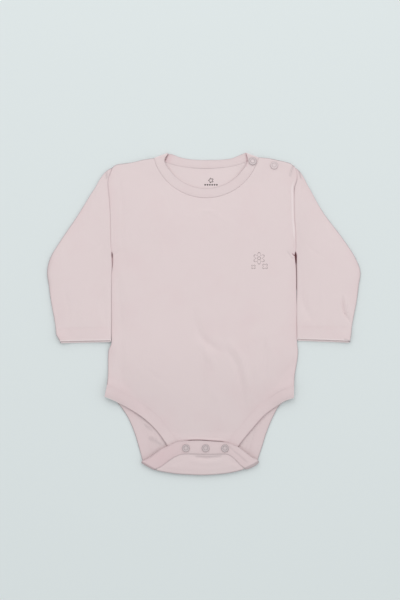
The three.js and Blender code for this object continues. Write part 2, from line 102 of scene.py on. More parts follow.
# %% The outline, as measured
SHOULDER_LEFT = [(-116.6, 186.8), (-112.4, 190.0), (-90.6, 193.3), (-76.0, 196.8)]
SHOULDER_RIGHT = [(82.2, 198.6), (102.7, 194.3), (111.0, 191.8), (116.4, 187.6)]
SIDE_LEFT = [
    (186.8, -116.8), (176, -121), (167, -122.8), (148, -121.2), (126, -119.8), (96, -119.3), (83, -119),
    (79, -117.8), (76, -116.4), (70, -116), (66, -116), (61, -116.4), (57, -117), (53, -117.5),
    (48, -117.8), (-26, -117.8), (-37.5, -117.9), (-48, -121.9),
    (-79, -122.6), (-91, -123.6), (-107, -127.2),
]  # fmt: skip
SIDE_RIGHT = [
    (187.6, 116.8), (180, 119.2), (172, 119.6), (160, 116.4), (135, 116.3), (118, 116.8), (108, 117.8),
    (96, 118.2), (82, 118.2), (77, 116.6), (72, 116.5), (66, 117.05), (58, 117.7), (48, 118), (30, 118.15), (18, 118.4), (0, 118.6), (-36, 119), (-46, 120.3), (-55, 120), (-68, 118),
    (-80, 115.9), (-97, 115), (-108, 115),
]  # fmt: skip
NECKBAND_BACK = [
    (53.4, 205.7, 70, 199.6), (45.6, 202.4, 53.6, 193.8), (34.1, 198.1, 39, 188.9),
    (9.3, 196.4, 7.1, 185.6), (-17.3, 197.3, -17.3, 186.5), (-31.6, 200.2, -33.2, 188.9),
    (-39.4, 203.3, -47, 192.8), (-45.6, 204.6, -63.2, 198.5),
]  # fmt: skip
FRONT_BAND = [
    (-126.6, -106, -123.4, -90.8), (-111.9, -112.6, -105.6, -99), (-92.9, -123.4, -85.4, -111.2),
    (-76.5, -134.4, -67.9, -123), (-61.1, -149.1, -51.4, -138.6), (-50, -163.6, -40, -154),
    (-42.6, -175, -33.6, -162.6), (-37, -181, -28, -166.4), (-1, -181.6, -1, -166.8),
    (35, -181, 26, -166.4), (40.6, -175, 31.6, -162.8), (48, -164.4, 38.2, -154.4),
    (61.8, -147.8, 52.2, -137), (76.4, -131.2, 67.6, -119.6), (92.5, -118.8, 85.4, -106.2),
    (103, -111.8, 97.2, -98.6), (114.9, -107.6, 115.3, -92.6),
]  # fmt: skip
BACK_BAND_LEFT = [
    (-126.6, -105.8, -123.4, -90.8), (-112.5, -112.3, -105.5, -98.6), (-99.5, -129, -86.6, -121.2),
    (-90, -149, -76, -143.6), (-83.4, -170, -68.8, -166.5), (-78.6, -187.9, -60.6, -197.9),
]  # fmt: skip
BACK_BAND_RIGHT = [
    (114.9, -107.4, 115.3, -92.6), (98.5, -115.6, 92.4, -102.2), (88.6, -132.5, 76.5, -124),
    (80.5, -152, 66.8, -146.4), (74.5, -171, 60, -168), (69.2, -187, 51, -196.6),
]  # fmt: skip
TAB_BAND = [
    (-78.6, -187.9, -60.6, -197.9), (-70, -184.4, -54.8, -195.3), (-62, -178.6, -50, -192),
    (-53.5, -172.3, -44.5, -187.8), (-44, -168, -37.5, -183.2), (-34, -163.6, -29, -179.8),
    (-20, -162.2, -17, -179.2), (-4, -161.9, -3, -179.4), (12, -163, 10, -179.5),
    (25, -163.9, 22, -179.2), (35, -166.4, 31, -179.8), (44, -170.2, 38, -184.4),
    (52, -176, 43.5, -189.6), (60.5, -182.6, 47.4, -193.8), (69.2, -187, 51, -196.6),
]  # fmt: skip
FOLD_LINE = [
    (-60.2, -198.1), (-48, -200.4), (-33.8, -202.4), (-16, -203.5),
    (1.6, -203.9), (26.8, -202), (40, -199.6), (50.6, -196.8),
]  # fmt: skip
SLEEVE_LEFT = [
    (-117.2, 186, -119, 79.2), (-135.8, 165, -118.8, 74), (-162, 124.2, -117.6, 61),
    (-182.2, 94.6, -117.75, 49), (-196.6, 70.5, -117.9, 39), (-200.4, 53.5, -117.9, 30),
    (-198.4, 36.5, -117.9, 20), (-195.1, 13.4, -117.9, 6), (-191.6, -5, -117.9, -7),
    (-189.6, -18, -117.9, -16), (-187.9, -36.8, -118, -35.4),
]  # fmt: skip
SLEEVE_RIGHT = [
    (117.4, 186.4, 118.2, 79.2), (131, 167.5, 119.6, 74.2), (152.4, 130, 119.35, 61),
    (176.8, 97.4, 119.2, 49), (194.2, 70.8, 119.15, 39), (200.4, 53.5, 119.1, 30),
    (198.4, 36.5, 118.85, 20), (195.5, 15, 118.65, 6), (191.8, -4, 118.75, -7),
    (189.6, -16.5, 118.85, -15), (187.8, -36.2, 119.05, -33.6),
]  # fmt: skip
LIFTS = [(-127, -104, 4.2, 20), (115, -106, 4.0, 20), (-188, -38, 3, 12), (-120, -36, 1.6, 12), (188, -36, 1.6, 11)]

# %% [markdown]
# ## Smooth lines through the measured points
#
# A tailor's curve through the rows: a centripetal spline, which passes every point and doesn't
# loop where two of them are close together.


# %% Smooth lines through the measured points
def curve(points, at):
    points = np.asarray(points, float)
    place = np.clip(np.asarray(at, float), 0, 1) * (len(points) - 1)
    k = np.minimum(place.astype(int), len(points) - 2)
    t = (place - k)[:, None]
    padded = np.vstack([2 * points[0] - points[1], points, 2 * points[-1] - points[-2]])
    p0, p1, p2, p3 = (padded[k + n] for n in range(4))
    d0, d1, d2 = (
        np.sqrt(np.linalg.norm(b - a, axis=1, keepdims=True)) for a, b in ((p0, p1), (p1, p2), (p2, p3))
    )
    m1 = ((p1 - p0) / d0 - (p2 - p0) / (d0 + d1) + (p2 - p1) / d1) * d1
    m2 = ((p2 - p1) / d1 - (p3 - p1) / (d1 + d2) + (p3 - p2) / d2) * d1
    return p1 + m1 * t + (3 * p2 - 3 * p1 - 2 * m1 - m2) * t**2 + (2 * p1 - 2 * p2 + m1 + m2) * t**3


def even_curve(points, at):
    """The same line, at shares of its length."""
    fine = curve(points, np.linspace(0, 1, 401))
    run = np.concatenate([[0], np.cumsum(np.linalg.norm(np.diff(fine, axis=0), axis=1))])
    return np.stack([np.interp(np.asarray(at) * run[-1], run, fine[:, n]) for n in range(2)], 1)


def side_x(rows, y):
    """Where the side edge of the body is, at a height."""
    rows = np.asarray(rows, float)
    ys, xs = rows.T
    last = len(rows) - 1
    k = np.clip(np.searchsorted(-ys, -np.asarray(y, float), side="left") - 1, 0, last - 1)
    span = ys[k + 1] - ys[k]
    t = np.clip((y - ys[k]) / span, 0, 1)
    before, after = np.maximum(k - 1, 0), np.minimum(k + 2, last)
    start = (xs[k + 1] - xs[before]) / (ys[k + 1] - ys[before]) * span
    end = (xs[after] - xs[k]) / (ys[after] - ys[k]) * span
    return (
        (2 * t**3 - 3 * t**2 + 1) * xs[k]
        + (t**3 - 2 * t**2 + t) * start
        + (3 * t**2 - 2 * t**3) * xs[k + 1]
        + (t**3 - t**2) * end
    )


def smooth(value, start, end):
    t = np.clip((np.asarray(value, float) - start) / (end - start), 0, 1)
    return t * t * (3 - 2 * t)


def mix(a, b, t):
    return a + (b - a) * t


def beside(rows, at, gap=EDGE_GAP):
    """The edge of a panel that is sewn to a band: the band's seam, a hair further in."""
    rows = np.asarray(rows, float)
    outer, seam = curve(rows[:, :2], at), curve(rows[:, 2:], at)
    away = seam - outer
    return seam + away / np.linalg.norm(away, axis=1, keepdims=True) * gap


def away_from(x, y, line):
    """Shortest distance from each place to a line of points."""
    nearest = np.full(np.shape(x), 1e9)
    for (ax, ay), (bx, by) in zip(line[:-1], line[1:]):
        dx, dy = bx - ax, by - ay
        t = np.clip(((x - ax) * dx + (y - ay) * dy) / max(dx * dx + dy * dy, 1e-9), 0, 1)
        nearest = np.minimum(nearest, np.hypot(x - ax - t * dx, y - ay - t * dy))
    return nearest


def near_line(x, y, line, width):
    """1 on a line, fading to 0 within about twice that width."""
    return np.exp(-((away_from(x, y, line) / width) ** 2))


# %% [markdown]
# ## How high each place lies
#
# The front lies on the back, with a little air between them in the middle. Where it crosses a band
# of the back it stands higher. At the hips and the cuffs the cloth lifts off the table a little.


# %% How high each place lies
def lift(x, y):
    return sum(h * (1 - smooth(np.hypot(x - cx, y - cy) / r, 0, 2)) for cx, cy, h, r in LIFTS)


def from_neck(x, y):
    return np.hypot(x - NECK_CENTRE[0], y - NECK_CENTRE[1])


def band_middle(rows):
    rows = np.asarray(rows, float)
    return (curve(rows[:, :2], np.linspace(0, 1, 25)) + curve(rows[:, 2:], np.linspace(0, 1, 25))) / 2


LOWER_BANDS = [band_middle(rows) for rows in (BACK_BAND_LEFT, BACK_BAND_RIGHT)]


def front_underside(x, y):
    over_neckband = smooth(y, 166, 183) * (1 - smooth(from_neck(x, y), 72, 96))
    to_lower_band = np.minimum(*(away_from(x, y, line) for line in LOWER_BANDS))
    over_leg_band = np.maximum(1 - smooth(to_lower_band, 9, 18), smooth(-y, 150, 163))
    return CLOTH + SEAM_GAP + BAND_RISE * np.maximum(over_neckband, over_leg_band)


def air_share(x, y):
    """How much of the room between front and back a place has: none at seams and snaps."""
    sides = smooth(x - side_x(SIDE_LEFT, y), 0, 46) * smooth(side_x(SIDE_RIGHT, y) - x, 0, 46)
    return sides * (1 - smooth(y, 110, 184)) * smooth(y, -156, -96) * smooth(from_neck(x, y), 69, 112)


# %% [markdown]
# ## Creases
#
# Cotton knit keeps soft creases where it was folded or gripped. Each one is a line with a height
# (below 0 for a trough) and a half-width, strongest in its middle and running out at both ends.
# No two are alike. A very low unevenness lies over everything, since no cloth is dead flat.


# %% Creases
def creases(rows, x, y):
    total = np.zeros(np.shape(x))
    for height, width, *line in rows:
        line = curve(np.reshape(line, (-1, 2)), np.linspace(0, 1, 9))
        steps = np.linalg.norm(np.diff(line, axis=0), axis=1)
        run = np.concatenate([[0], np.cumsum(steps)]) / steps.sum()
        nearest, share = np.full(np.shape(x), 1e9), np.zeros(np.shape(x))
        for k in range(8):
            (ax, ay), (bx, by) = line[k], line[k + 1]
            dx, dy = bx - ax, by - ay
            t = np.clip(((x - ax) * dx + (y - ay) * dy) / (dx * dx + dy * dy), 0, 1)
            off = np.hypot(x - ax - t * dx, y - ay - t * dy)
            share = np.where(off < nearest, mix(run[k], run[k + 1], t), share)
            nearest = np.minimum(nearest, off)
        strength = 0.25 + 0.75 * np.sin(np.pi * np.clip(share, 0.02, 0.98)) ** 0.8
        total += height * strength * np.exp(-((nearest / width) ** 2))
    return total


def unevenness(x, y, seed=0.0):
    waves = [(0.061, 0.023, 1.1), (-0.034, 0.071, 2.7), (0.117, 0.052, 4.4), (0.043, -0.139, 0.6), (0.19, 0.11, 3.2)]
    return sum(
        np.sin(a * x + b * y + c + seed * (n + 1)) / (1 + 0.5 * n) for n, (a, b, c) in enumerate(waves)
    ) * 0.07


# %% [markdown]
# ## A slab of cloth
#
# Every piece starts as a flat slab, a grid of small squares with a top, an underside and a rim. It
# is then laid: each corner of the grid gets its place on the middle of the cloth, and half the
# thickness is added to each side of it. The rim is rounded, as a cut or folded edge of knit is.
# A sleeve starts as a tube in the same way. Two values ride along with every corner, and both are
# painted light and shade: a tint deepens the pink where shade would fall or pales it as painted
# light, and rim_shade paints the shade of a groove or of an edge that turns under.

# %% A slab of cloth
RIM_STEPS = 4


def flat_slab(across, along, left_out=None):
    bm = bmesh.new()
    bmesh.ops.create_grid(bm, x_segments=across, y_segments=along, size=0.5)
    for vert in bm.verts:
        vert.co = (round((vert.co.x + 0.5) * across), round((vert.co.y + 0.5) * along), 0)
    if left_out:
        gone = [face for face in bm.faces if left_out(*face.calc_center_median().xy)]
        bmesh.ops.delete(bm, geom=gone, context="FACES")
    made = bmesh.ops.extrude_face_region(bm, geom=bm.faces[:], use_keep_orig=True)
    raised = [item for item in made["geom"] if isinstance(item, bmesh.types.BMVert)]
    bmesh.ops.translate(bm, verts=raised, vec=(0, 0, RIM_STEPS))
    rim = [edge for edge in bm.edges if abs(edge.verts[0].co.z - edge.verts[1].co.z) > 0.5]
    bmesh.ops.subdivide_edges(bm, edges=rim, cuts=RIM_STEPS - 1, use_grid_fill=True)
    places = np.array([vert.co[:] for vert in bm.verts])
    return bm, np.rint(places[:, 0]).astype(int), np.rint(places[:, 1]).astype(int), places[:, 2]


def tube_slab(around, along):
    bm = bmesh.new()
    bmesh.ops.create_circle(bm, segments=around, radius=10)
    edges = bm.edges[:]
    for _ in range(along):
        made = bmesh.ops.extrude_edge_only(bm, edges=edges)["geom"]
        edges = [item for item in made if isinstance(item, bmesh.types.BMEdge)]
        bmesh.ops.translate(bm, verts=[v for v in made if isinstance(v, bmesh.types.BMVert)], vec=(0, 0, 1))
    made = bmesh.ops.extrude_face_region(bm, geom=bm.faces[:], use_keep_orig=True)
    for item in made["geom"]:
        if isinstance(item, bmesh.types.BMVert):
            item.co.xy = item.co.xy * ((10 + RIM_STEPS) / 10)
    rim = [edge for edge in bm.edges if abs(edge.verts[0].co.xy.length - edge.verts[1].co.xy.length) > 0.5]
    bmesh.ops.subdivide_edges(bm, edges=rim, cuts=RIM_STEPS - 1, use_grid_fill=True)
    places = np.array([vert.co[:] for vert in bm.verts])
    angle = np.arctan2(places[:, 1], places[:, 0]) / (2 * np.pi) * around
    return bm, np.rint(angle).astype(int) % around, np.rint(places[:, 2]).astype(int), np.hypot(*places[:, :2].T) - 10


def neighbours(middle, axis, closed):
    """The points one step before and after each one, itself where the cloth ends."""
    before, after = np.roll(middle, 1, axis), np.roll(middle, -1, axis)
    if not closed:
        first, last = [slice(None)] * 3, [slice(None)] * 3
        first[axis], last[axis] = 0, -1
        before[tuple(first)], after[tuple(last)] = middle[tuple(first)], middle[tuple(last)]
    return np.where(np.isnan(before), middle, before), np.where(np.isnan(after), middle, after)


def unit(vectors):
    size = np.linalg.norm(vectors, axis=-1, keepdims=True)
    return vectors / np.where(size < 1e-9, 1, size)


def lay(name, slab, middle, thickness, grain, tint=0.0, rounding=9.0, closed=False, shade=0.0):
    """Lays a slab: middle[along, across] holds points, grain the place in the flat cut."""
    bm, i, j, level = slab
    thickness = np.broadcast_to(thickness, middle.shape[:2])
    u0, u1 = neighbours(middle, 1, closed)
    v0, v1 = neighbours(middle, 0, False)
    normal = unit(np.cross(u1 - u0, v1 - v0))
    outward = np.zeros_like(middle)
    for a, b in ((u0, u1), (u1, u0), (v0, v1), (v1, v0)):
        ends = np.all(middle == b, axis=-1, keepdims=True)
        outward += np.where(ends, unit(middle - a), 0)
    outward = unit(outward - normal * np.sum(outward * normal, -1, keepdims=True))
    half = thickness[..., None] / 2
    radius = np.minimum(half, np.broadcast_to(rounding, middle.shape[:2])[..., None])
    inset = middle - outward * radius
    turn = ((level / RIM_STEPS - 0.5) * np.pi)[:, None]
    rise = np.sin(turn) * radius[j, i] + np.sign(np.round(np.sin(turn), 6)) * (half - radius)[j, i]
    points = (inset[j, i] + normal[j, i] * rise + outward[j, i] * radius[j, i] * np.cos(turn)) * MM
    mesh = bpy.data.meshes.new(name)
    for vert, point in zip(bm.verts, points):
        vert.co = point
    bmesh.ops.recalc_face_normals(bm, faces=bm.faces[:])
    bm.to_mesh(mesh)
    bm.free()
    loops = np.zeros(len(mesh.loops), int)
    mesh.loops.foreach_get("vertex_index", loops)
    spots = np.asarray(grain)[j, i] * MM
    if closed:
        wrapped = np.zeros(len(loops), bool)
        starts = np.array([polygon.loop_start for polygon in mesh.polygons])
        totals = np.array([polygon.loop_total for polygon in mesh.polygons])
        around = middle.shape[1]
        for start, total in zip(starts, totals):
            part = i[loops[start : start + total]]
            if part.max() - part.min() > around / 2:
                wrapped[start : start + total] = part < around / 2
        flat = spots[loops]
        flat[wrapped, 0] += np.asarray(grain)[..., 0].max() * MM
    else:
        flat = spots[loops]
    mesh.uv_layers.new(name="grain").data.foreach_set("uv", flat.astype(np.float32).ravel())
    # Both values are painted into the colour: the tint as painted shade and painted light, rim_shade as painted shade.
    for kind, values in (("painted_shade_and_light", tint), ("rim_shade", shade)):
        attribute = mesh.attributes.new(kind, "FLOAT", "POINT")
        attribute.data.foreach_set("value", np.broadcast_to(values, middle.shape[:2])[j, i].astype(np.float32))
    mesh.polygons.foreach_set("use_smooth", np.ones(len(mesh.polygons), bool))
    piece = bpy.data.objects.new(name, mesh)
    bpy.context.scene.collection.objects.link(piece)
    area = sum(polygon.area for polygon in mesh.polygons) / 2
    print(f"{name}: {len(mesh.polygons)} faces, {area * 1e4:.0f} square cm of cloth")
    return piece


NEAR = (0, 0.5, 1.0, 1.5, 2.1, 2.8, 3.7, 4.9)


def stations(length, pitch, near=NEAR, far=NEAR):
    """Shares of a length, evenly spaced but closer together at both ends."""
    near, far = np.array(near) / length, np.array(far) / length
    count = max(int(round((1 - near[-1] - far[-1]) * length / pitch)), 2)
    return np.concatenate([near[:-1], np.linspace(near[-1], 1 - far[-1], count + 1), 1 - far[-2::-1]])


def seam_dip(distance, depth=0.1, width=1.0):
    """Cloth is drawn down a little where a seam holds it."""
    return depth * np.exp(-((distance / width) ** 2))


def rolled(distance, drop, radius):
    """A soft edge that turns down to the layer below it."""
    inside = np.clip(1 - distance / radius, 0, 1)
    return drop * (1 - np.sqrt(1 - inside**2))


# %% [markdown]
# ## The front and back of the body
#
# Both are one cut each. Their grid is blended between four edges: the shoulders with the neck seam
# on top, the leg seam below, and the two sides.


# %% The front and back of the body
def top_line(neck_rows, across):
    """Left shoulder, neck seam and right shoulder, at shares of the width."""
    across = np.asarray(across, float)
    neck = beside(neck_rows, np.linspace(0, 1, 201))
    if neck[0, 0] > 0:
        neck = neck[::-1]
    left = np.vstack([SHOULDER_LEFT, neck[:1]])
    right = np.vstack([neck[-1:], SHOULDER_RIGHT])
    a, b = NECK_FROM, NECK_TO
    share = np.clip((across - a) / (b - a), 0, 1) * 200
    on_neck = np.stack([np.interp(share, np.arange(201), neck[:, n]) for n in range(2)], 1)
    on_left, on_right = even_curve(left, across / a), even_curve(right, (across - b) / (1 - b))
    return np.where((across < a)[:, None], on_left, np.where((across > b)[:, None], on_right, on_neck))


def panel_points(top, bottom, across, down):
    """x and y of a body panel's grid, blended between its edges."""
    v = down[:, None]
    straight = top[None] * (1 - v[..., None]) + bottom[None] * v[..., None]
    x, y = straight[..., 0], straight[..., 1]
    moves = []
    for rows, k in ((SIDE_LEFT, 0), (SIDE_RIGHT, -1)):
        missed = [corner[0] - side_x(rows, corner[1]) for corner in (top[k], bottom[k])]
        moves.append(side_x(rows, y[:, k]) + mix(missed[0], missed[1], down) - x[:, k])
    x = x + mix(moves[0][:, None], moves[1][:, None], across[None])
    return x, y


def neck_front_rows():
    angles = np.linspace(*NECK_ARC, 9)
    ring = np.stack([np.cos(angles), np.sin(angles)], 1)
    arc = np.hstack([NECK_CENTRE + NECK_OPENING_RADIUS * ring, NECK_CENTRE + NECK_SEAM_RADIUS * ring])
    return np.vstack([NECKBAND_BACK[-1], arc, NECKBAND_BACK[0]])


def fold_turn(line, low, high, steps, bulge=0.0):
    """Rows of a half turn over a fold line, from its lower layer to its upper one."""
    along = np.gradient(line, axis=0)
    out = unit(np.stack([along[:, 1], -along[:, 0]], 1))
    out = np.where(np.sum(out * -line, 1, keepdims=True) > 0, -out, out)
    radius = (high - low) / 2
    reach = radius + bulge * np.sin(np.linspace(0, np.pi, len(line)))[:, None]
    rows = []
    for angle in np.pi * np.arange(1, steps) / steps:
        spot = line + out * reach * np.sin(angle)
        rows.append(np.column_stack([spot, np.full(len(line), low + radius * (1 - np.cos(angle)))]))
    return np.array(rows)


FRONT_CREASES = [
    (-1.5, 4.6, -12.5, 2, -4.8, -27.5, 8, -40.3, 24, -50),
    (1.3, 4.2, 1.6, -44, 6, -54, 12, -66),
    (1.3, 4.4, 34, -38, 49, -58, 55.5, -86, 58, -118),
    (-1.0, 3.8, 27, -44, 40, -62, 46.5, -88, 49, -110),
    (-1.4, 5.0, 77, -36, 78, -56, 76, -78),
    (-0.9, 3.2, -1.5, -44, -2.5, -80, -1, -114),
    (-1.2, 4.5, -109, 44, -106, -30, -108, -112),
    (-1.2, 5.5, 112, -66, 104, -82, 96, -98),
    (-0.6, 2.4, -107, 172, -104, 130, -105, 80),
    (0.5, 1.8, -117.4, 181, -118.8, 174),
    (-0.8, 1.5, 114.6, 189, 111.4, 181.5, 110.6, 176),
    (0.6, 1.5, 115.6, 186, 116.6, 178),
    (0.5, 6.0, -60, 60, -58, 100, -50, 150),
    (0.45, 7.0, 40, 20, 55, 70, 74, 120),
    (-0.7, 1.6, 117, 75, 112, 79),
    (-0.7, 1.8, 115.5, 69, 111, 74, 106.5, 80),
    (-0.5, 1.8, -117, 70, -112, 76, -109, 84),
    (-0.5, 3.0, 112, 175, 109.5, 140, 111, 96),
    (0.4, 2.5, -20, 120, 4, 131, 30, 118),
    (-0.3, 3.4, -84, -62, -62, -80, -36, -92),
    (0.5, 3.5, 12, -96, 20, -120, 22, -146),
]
neck_rows = neck_front_rows()
across = stations(BODY_WIDTH, 1.6)
down = stations(300, 1.6, far=np.arange(0, 10.5, 0.7))
neck_seam = beside(neck_rows, np.linspace(0, 1, 60))
front_top = top_line(neck_rows, across)
front_bottom = beside(FRONT_BAND, across, 0.0)
x, y = panel_points(front_top, front_bottom, across, down)
share = air_share(x, y)
to_left, to_right = x - x[:, :1], x[:, -1:] - x
to_side = np.minimum(to_left, to_right)
to_neck = away_from(x, y, neck_seam)
to_shoulder = np.minimum(
    away_from(x, y, np.vstack([SHOULDER_LEFT, neck_seam[:1]])),
    away_from(x, y, np.vstack([neck_seam[-1:], SHOULDER_RIGHT])),
)
to_leg = away_from(x, y, front_bottom)
tab_edge = curve([row[:2] for row in TAB_BAND], np.linspace(0, 1, 60))
above_tab = away_from(x, y, tab_edge) * np.sign(y - np.interp(x, tab_edge[:, 0], tab_edge[:, 1]))
armhole, armpit = smooth(y, 74, 82), smooth(y, 44, 58)
relief = (
    FRONT_PUFF * np.sqrt(share * smooth(to_leg, 0, 45))
    + creases(FRONT_CREASES, x, y) * smooth(to_leg, 0, 9) * smooth(to_side, 0, 4)
)
relief += unevenness(x, y) * smooth(to_side, 0, 12)
z = front_underside(x, y) + CLOTH / 2 + np.maximum(relief, 0) + lift(x, y)
z += 0.35 * np.exp(-(((to_left - 2.1) / 1.2) ** 2)) * smooth(y, 82, 96) * (1 - smooth(y, 150, 168))
z += 0.65 * np.exp(-(((to_right - 2.2) / 1.1) ** 2)) * smooth(y, 80, 90) * (1 - smooth(y, 150, 170))
z += 0.8 * np.exp(-(((above_tab - 1.6) / 1.1) ** 2)) * smooth(x, -30, -14) * (1 - smooth(x, 20, 34))
z -= seam_dip(to_neck) + armhole * seam_dip(to_side, 0.25, 1.2)
beside_sleeve = smooth(y, -44, -34)
z -= (
    (1 - armpit) * mix(rolled(to_side, 1.0, 2.6), rolled(to_side, 0.3, 1.6), beside_sleeve)
    + rolled(to_shoulder, 0.6, 2.0)
)
held = np.maximum(np.exp(-((to_neck / 0.9) ** 2)), armpit * np.exp(-((to_side / 0.9) ** 2)))
# front_tint paints shade and light: a deeper pink near the sides and legs, a dark red slit above the tab's band, dark
# creases at the right armpit and armhole, and paler strips as painted light on the ridges beside both armholes and on
# the armpit fold.
front_tint = (
    0.35 * np.exp(-to_side / 6) + 0.3 * np.exp(-to_leg / 9)
    + 0.15 * armhole * np.exp(-((to_side / 0.8) ** 2))
)
slit = smooth(x, -26, -16) * (1 - smooth(x, 22, 31)) * (1 - 0.3 * smooth(x, -6, 16))
front_tint += 3.0 * slit * np.exp(-((above_tab / 0.8) ** 2))
front_tint += (
    1.9 * near_line(x, y, [(117, 73.9), (113.2, 75.9)], 1.0)
    + 0.5 * near_line(x, y, [(117, 71.4), (113.8, 71.6)], 1.0)
)
front_tint += 1.2 * near_line(x, y, [(116.3, 160), (116.1, 150)], 0.8)
front_tint -= 0.75 * np.exp(-(((to_right - 2.7) / 1.3) ** 2)) * smooth(y, 88, 108) * (1 - smooth(y, 158, 176))
front_tint -= 0.35 * np.exp(-(((to_left - 1.6) / 0.9) ** 2)) * smooth(y, 84, 96) * (1 - smooth(y, 128, 140))
front_tint -= 0.9 * near_line(x, y, [(112.2, 75), (113.2, 73.4)], 0.9)
# front_shade paints shade: seam lines at the neck and armholes, edges that turn under at the sides and shoulders,
# creases at both armholes and the armpit, and the darker lower half of LEG_GREY.
front_shade = (
    0.08 * np.exp(-((to_neck / 0.7) ** 2)) * (1 - smooth(y, 190, 196))
    + 0.3 * armhole * np.exp(-((to_side / 0.6) ** 2))
)
front_shade += (
    LEG_GREY * smooth(-y, 20, 110)
    + 0.3 * near_line(x, y, [(107.2, 78.7), (110.5, 74.6), (113.6, 70.7)], 0.9)
)
front_shade += (
    (1 - armpit) * np.exp(-((to_side / 0.7) ** 2)) * mix(1, 0.1, beside_sleeve)
    + np.exp(-((to_shoulder / 0.7) ** 2))
)
front_shade += 0.5 * near_line(x, y, [(-116.8, 187.5), (-118.6, 182.4), (-120.6, 176.8)], 0.9)
front_shade += (
    0.6 * near_line(x, y, [(114.6, 189), (111.4, 181.5), (110.6, 176)], 0.9)
    + 0.35 * near_line(x, y, [(115.5, 163), (115.2, 155)], 0.8)
)
rounding = np.full(x.shape, 9.0)
rounding[0, (across > NECK_FROM) & (across < NECK_TO)] = 0.3
rounding[-1] = 0.03
rounding[:, 0] = rounding[:, -1] = np.where(y[:, 0] > -38, 0.15, 9.0)
front = lay(
    "front_cloth",
    flat_slab(len(across) - 1, len(down) - 1),
    np.dstack([x, y, z]),
    CLOTH - 0.35 * held,
    np.dstack([x, y]),
    front_tint,
    rounding,
    shade=front_shade,
)
front_side_y, front_left_x, front_right_x = y[:, 0], x[:, 0], x[:, -1]

# %% [markdown]
# The back is longer. It runs down behind the legs, turns up at the crotch and comes forward as the
# snap tab. In its grid the turned part is narrower, so the corners beside it are left out. Behind
# each armpit a narrow web of it shows past the front and lies in the dark of the gap, and that dark
# is painted into its colour as well.

# %% The back of the body
BACK_CREASES = [
    (0.7, 2.1, -78, -140, -72, -143, -65, -147.5),
    (0.75, 2.5, -71, -157, -62, -160, -54, -164),
    (0.8, 2.4, 64, -178, 69, -162, 73, -146),
    (-0.4, 4.0, -40, 150, 0, 140, 50, 152),
    (-0.35, 5.0, -60, 60, -20, 20, 30, 10),
]
TAB_CREASES = [
    (-1.8, 2.0, -14, -182.2, 5, -183.8, 24, -182),
    (0.5, 3.0, -16, -188.5, 3, -190.5, 24, -187.5),
    (-0.3, 2.4, -44, -193, -30, -189, -22, -186),
    (-0.35, 2.2, 30, -186, 38, -190, 46, -193),
]
legs = 6 / 26
fold_across = np.linspace(legs, 1 - legs, FOLD_COLUMNS)
leg_across = np.concatenate([[0, 0.5, 1.1, 1.9, 3.0], np.linspace(4.5, BODY_WIDTH * legs, 56)[:-1]]) / BODY_WIDTH
back_across = np.concatenate([leg_across, fold_across, 1 - leg_across[::-1]])
upper, lower = stations(370, 3.6), stations(370, 1.6)
back_down = np.concatenate([upper[upper < 0.7], lower[lower >= 0.7]])
fold_line = even_curve(FOLD_LINE, np.linspace(0, 1, FOLD_COLUMNS))
leg_left = beside(BACK_BAND_LEFT, leg_across / legs, 0.0)
leg_right = beside(BACK_BAND_RIGHT, leg_across / legs, 0.0)[::-1]
back_bottom = np.vstack([leg_left, fold_line, leg_right])
back_top = top_line(NECKBAND_BACK, back_across)
x, y = panel_points(back_top, back_bottom, back_across, back_down)
web = np.where(x < 0, smooth(y, 50, 62), smooth(y, 18, 34)) * (1 - smooth(y, 76, 82))
reach = np.where(
    x < 0,
    np.interp(y, [50, 56, 61, 66, 72, 76, 80, 82], [0, 0.8, 1.1, 1.9, 2.5, 1.9, 0.6, 0]),
    np.interp(y, [18, 34, 49, 61, 66, 72, 76, 80, 82], [0.4, 1.1, 1.3, 1.7, 2.2, 2.8, 2.1, 0.6, 0]),
)
tuck = 1.3 * (1 - smooth(y, 70, 84)) * (1 - web) * smooth(y, -98, -80) - reach * web
middle_x = (x[:, :1] + x[:, -1:]) / 2
x = middle_x + (x - middle_x) * (1 - tuck / 118)
to_leg = np.minimum(away_from(x, y, leg_left), away_from(x, y, leg_right))
to_neck = away_from(x, y, beside(NECKBAND_BACK, np.linspace(0, 1, 60)))
ripple = creases(BACK_CREASES, x, y) * smooth(to_leg, 0, 3)
front_edge = curve([row[:2] for row in FRONT_BAND], np.linspace(0, 1, 200))
below_front = np.interp(x, front_edge[:, 0], front_edge[:, 1]) - y
room = 0.3 * smooth(-y, 104, 124) * smooth(to_leg, 0, 14) * smooth(below_front, 1, 7)
z = CLOTH / 2 + lift(x, y) + np.maximum(ripple + room, 0)
z += 0.5 * smooth(y, 120, 160) * smooth(to_neck, 0, 14) * smooth(x, -90, -40) * (1 - smooth(x, 40, 90))
base = np.dstack([x, y, z])
low, high = CLOTH / 2, TAB_LOW + CLOTH / 2
turn = fold_turn(fold_line, low, high, 10)
arch = beside(TAB_BAND, np.linspace(0, 1, FOLD_COLUMNS))
arch[0], arch[-1] = mix(arch[0], arch[1], 0.25), mix(arch[-1], arch[-2], 0.25)
tab_down = np.linspace(0, 1, 22)[:, None, None]
tab = fold_line[None] * (1 - tab_down) + arch[None] * tab_down
to_arch = away_from(tab[..., 0], tab[..., 1], arch)
to_fold = away_from(tab[..., 0], tab[..., 1], fold_line)
tab_z = (
    high + creases(TAB_CREASES, tab[..., 0], tab[..., 1]) * smooth(to_fold, 0, 5)
    + 0.6 * smooth(to_fold, 0, 7) * smooth(to_arch, 0, 10)
)
tab_z -= seam_dip(to_arch, 0.15)
folded = np.concatenate([turn, np.dstack([tab, tab_z])])
whole = np.full((len(base) + len(folded), len(back_across), 3), np.nan)
whole[: len(base)] = base
first, last = len(leg_across), len(leg_across) + FOLD_COLUMNS - 1
whole[len(base) :, first : last + 1] = folded
run = np.linalg.norm(np.diff(whole[:, (first + last) // 2], axis=0), axis=1)
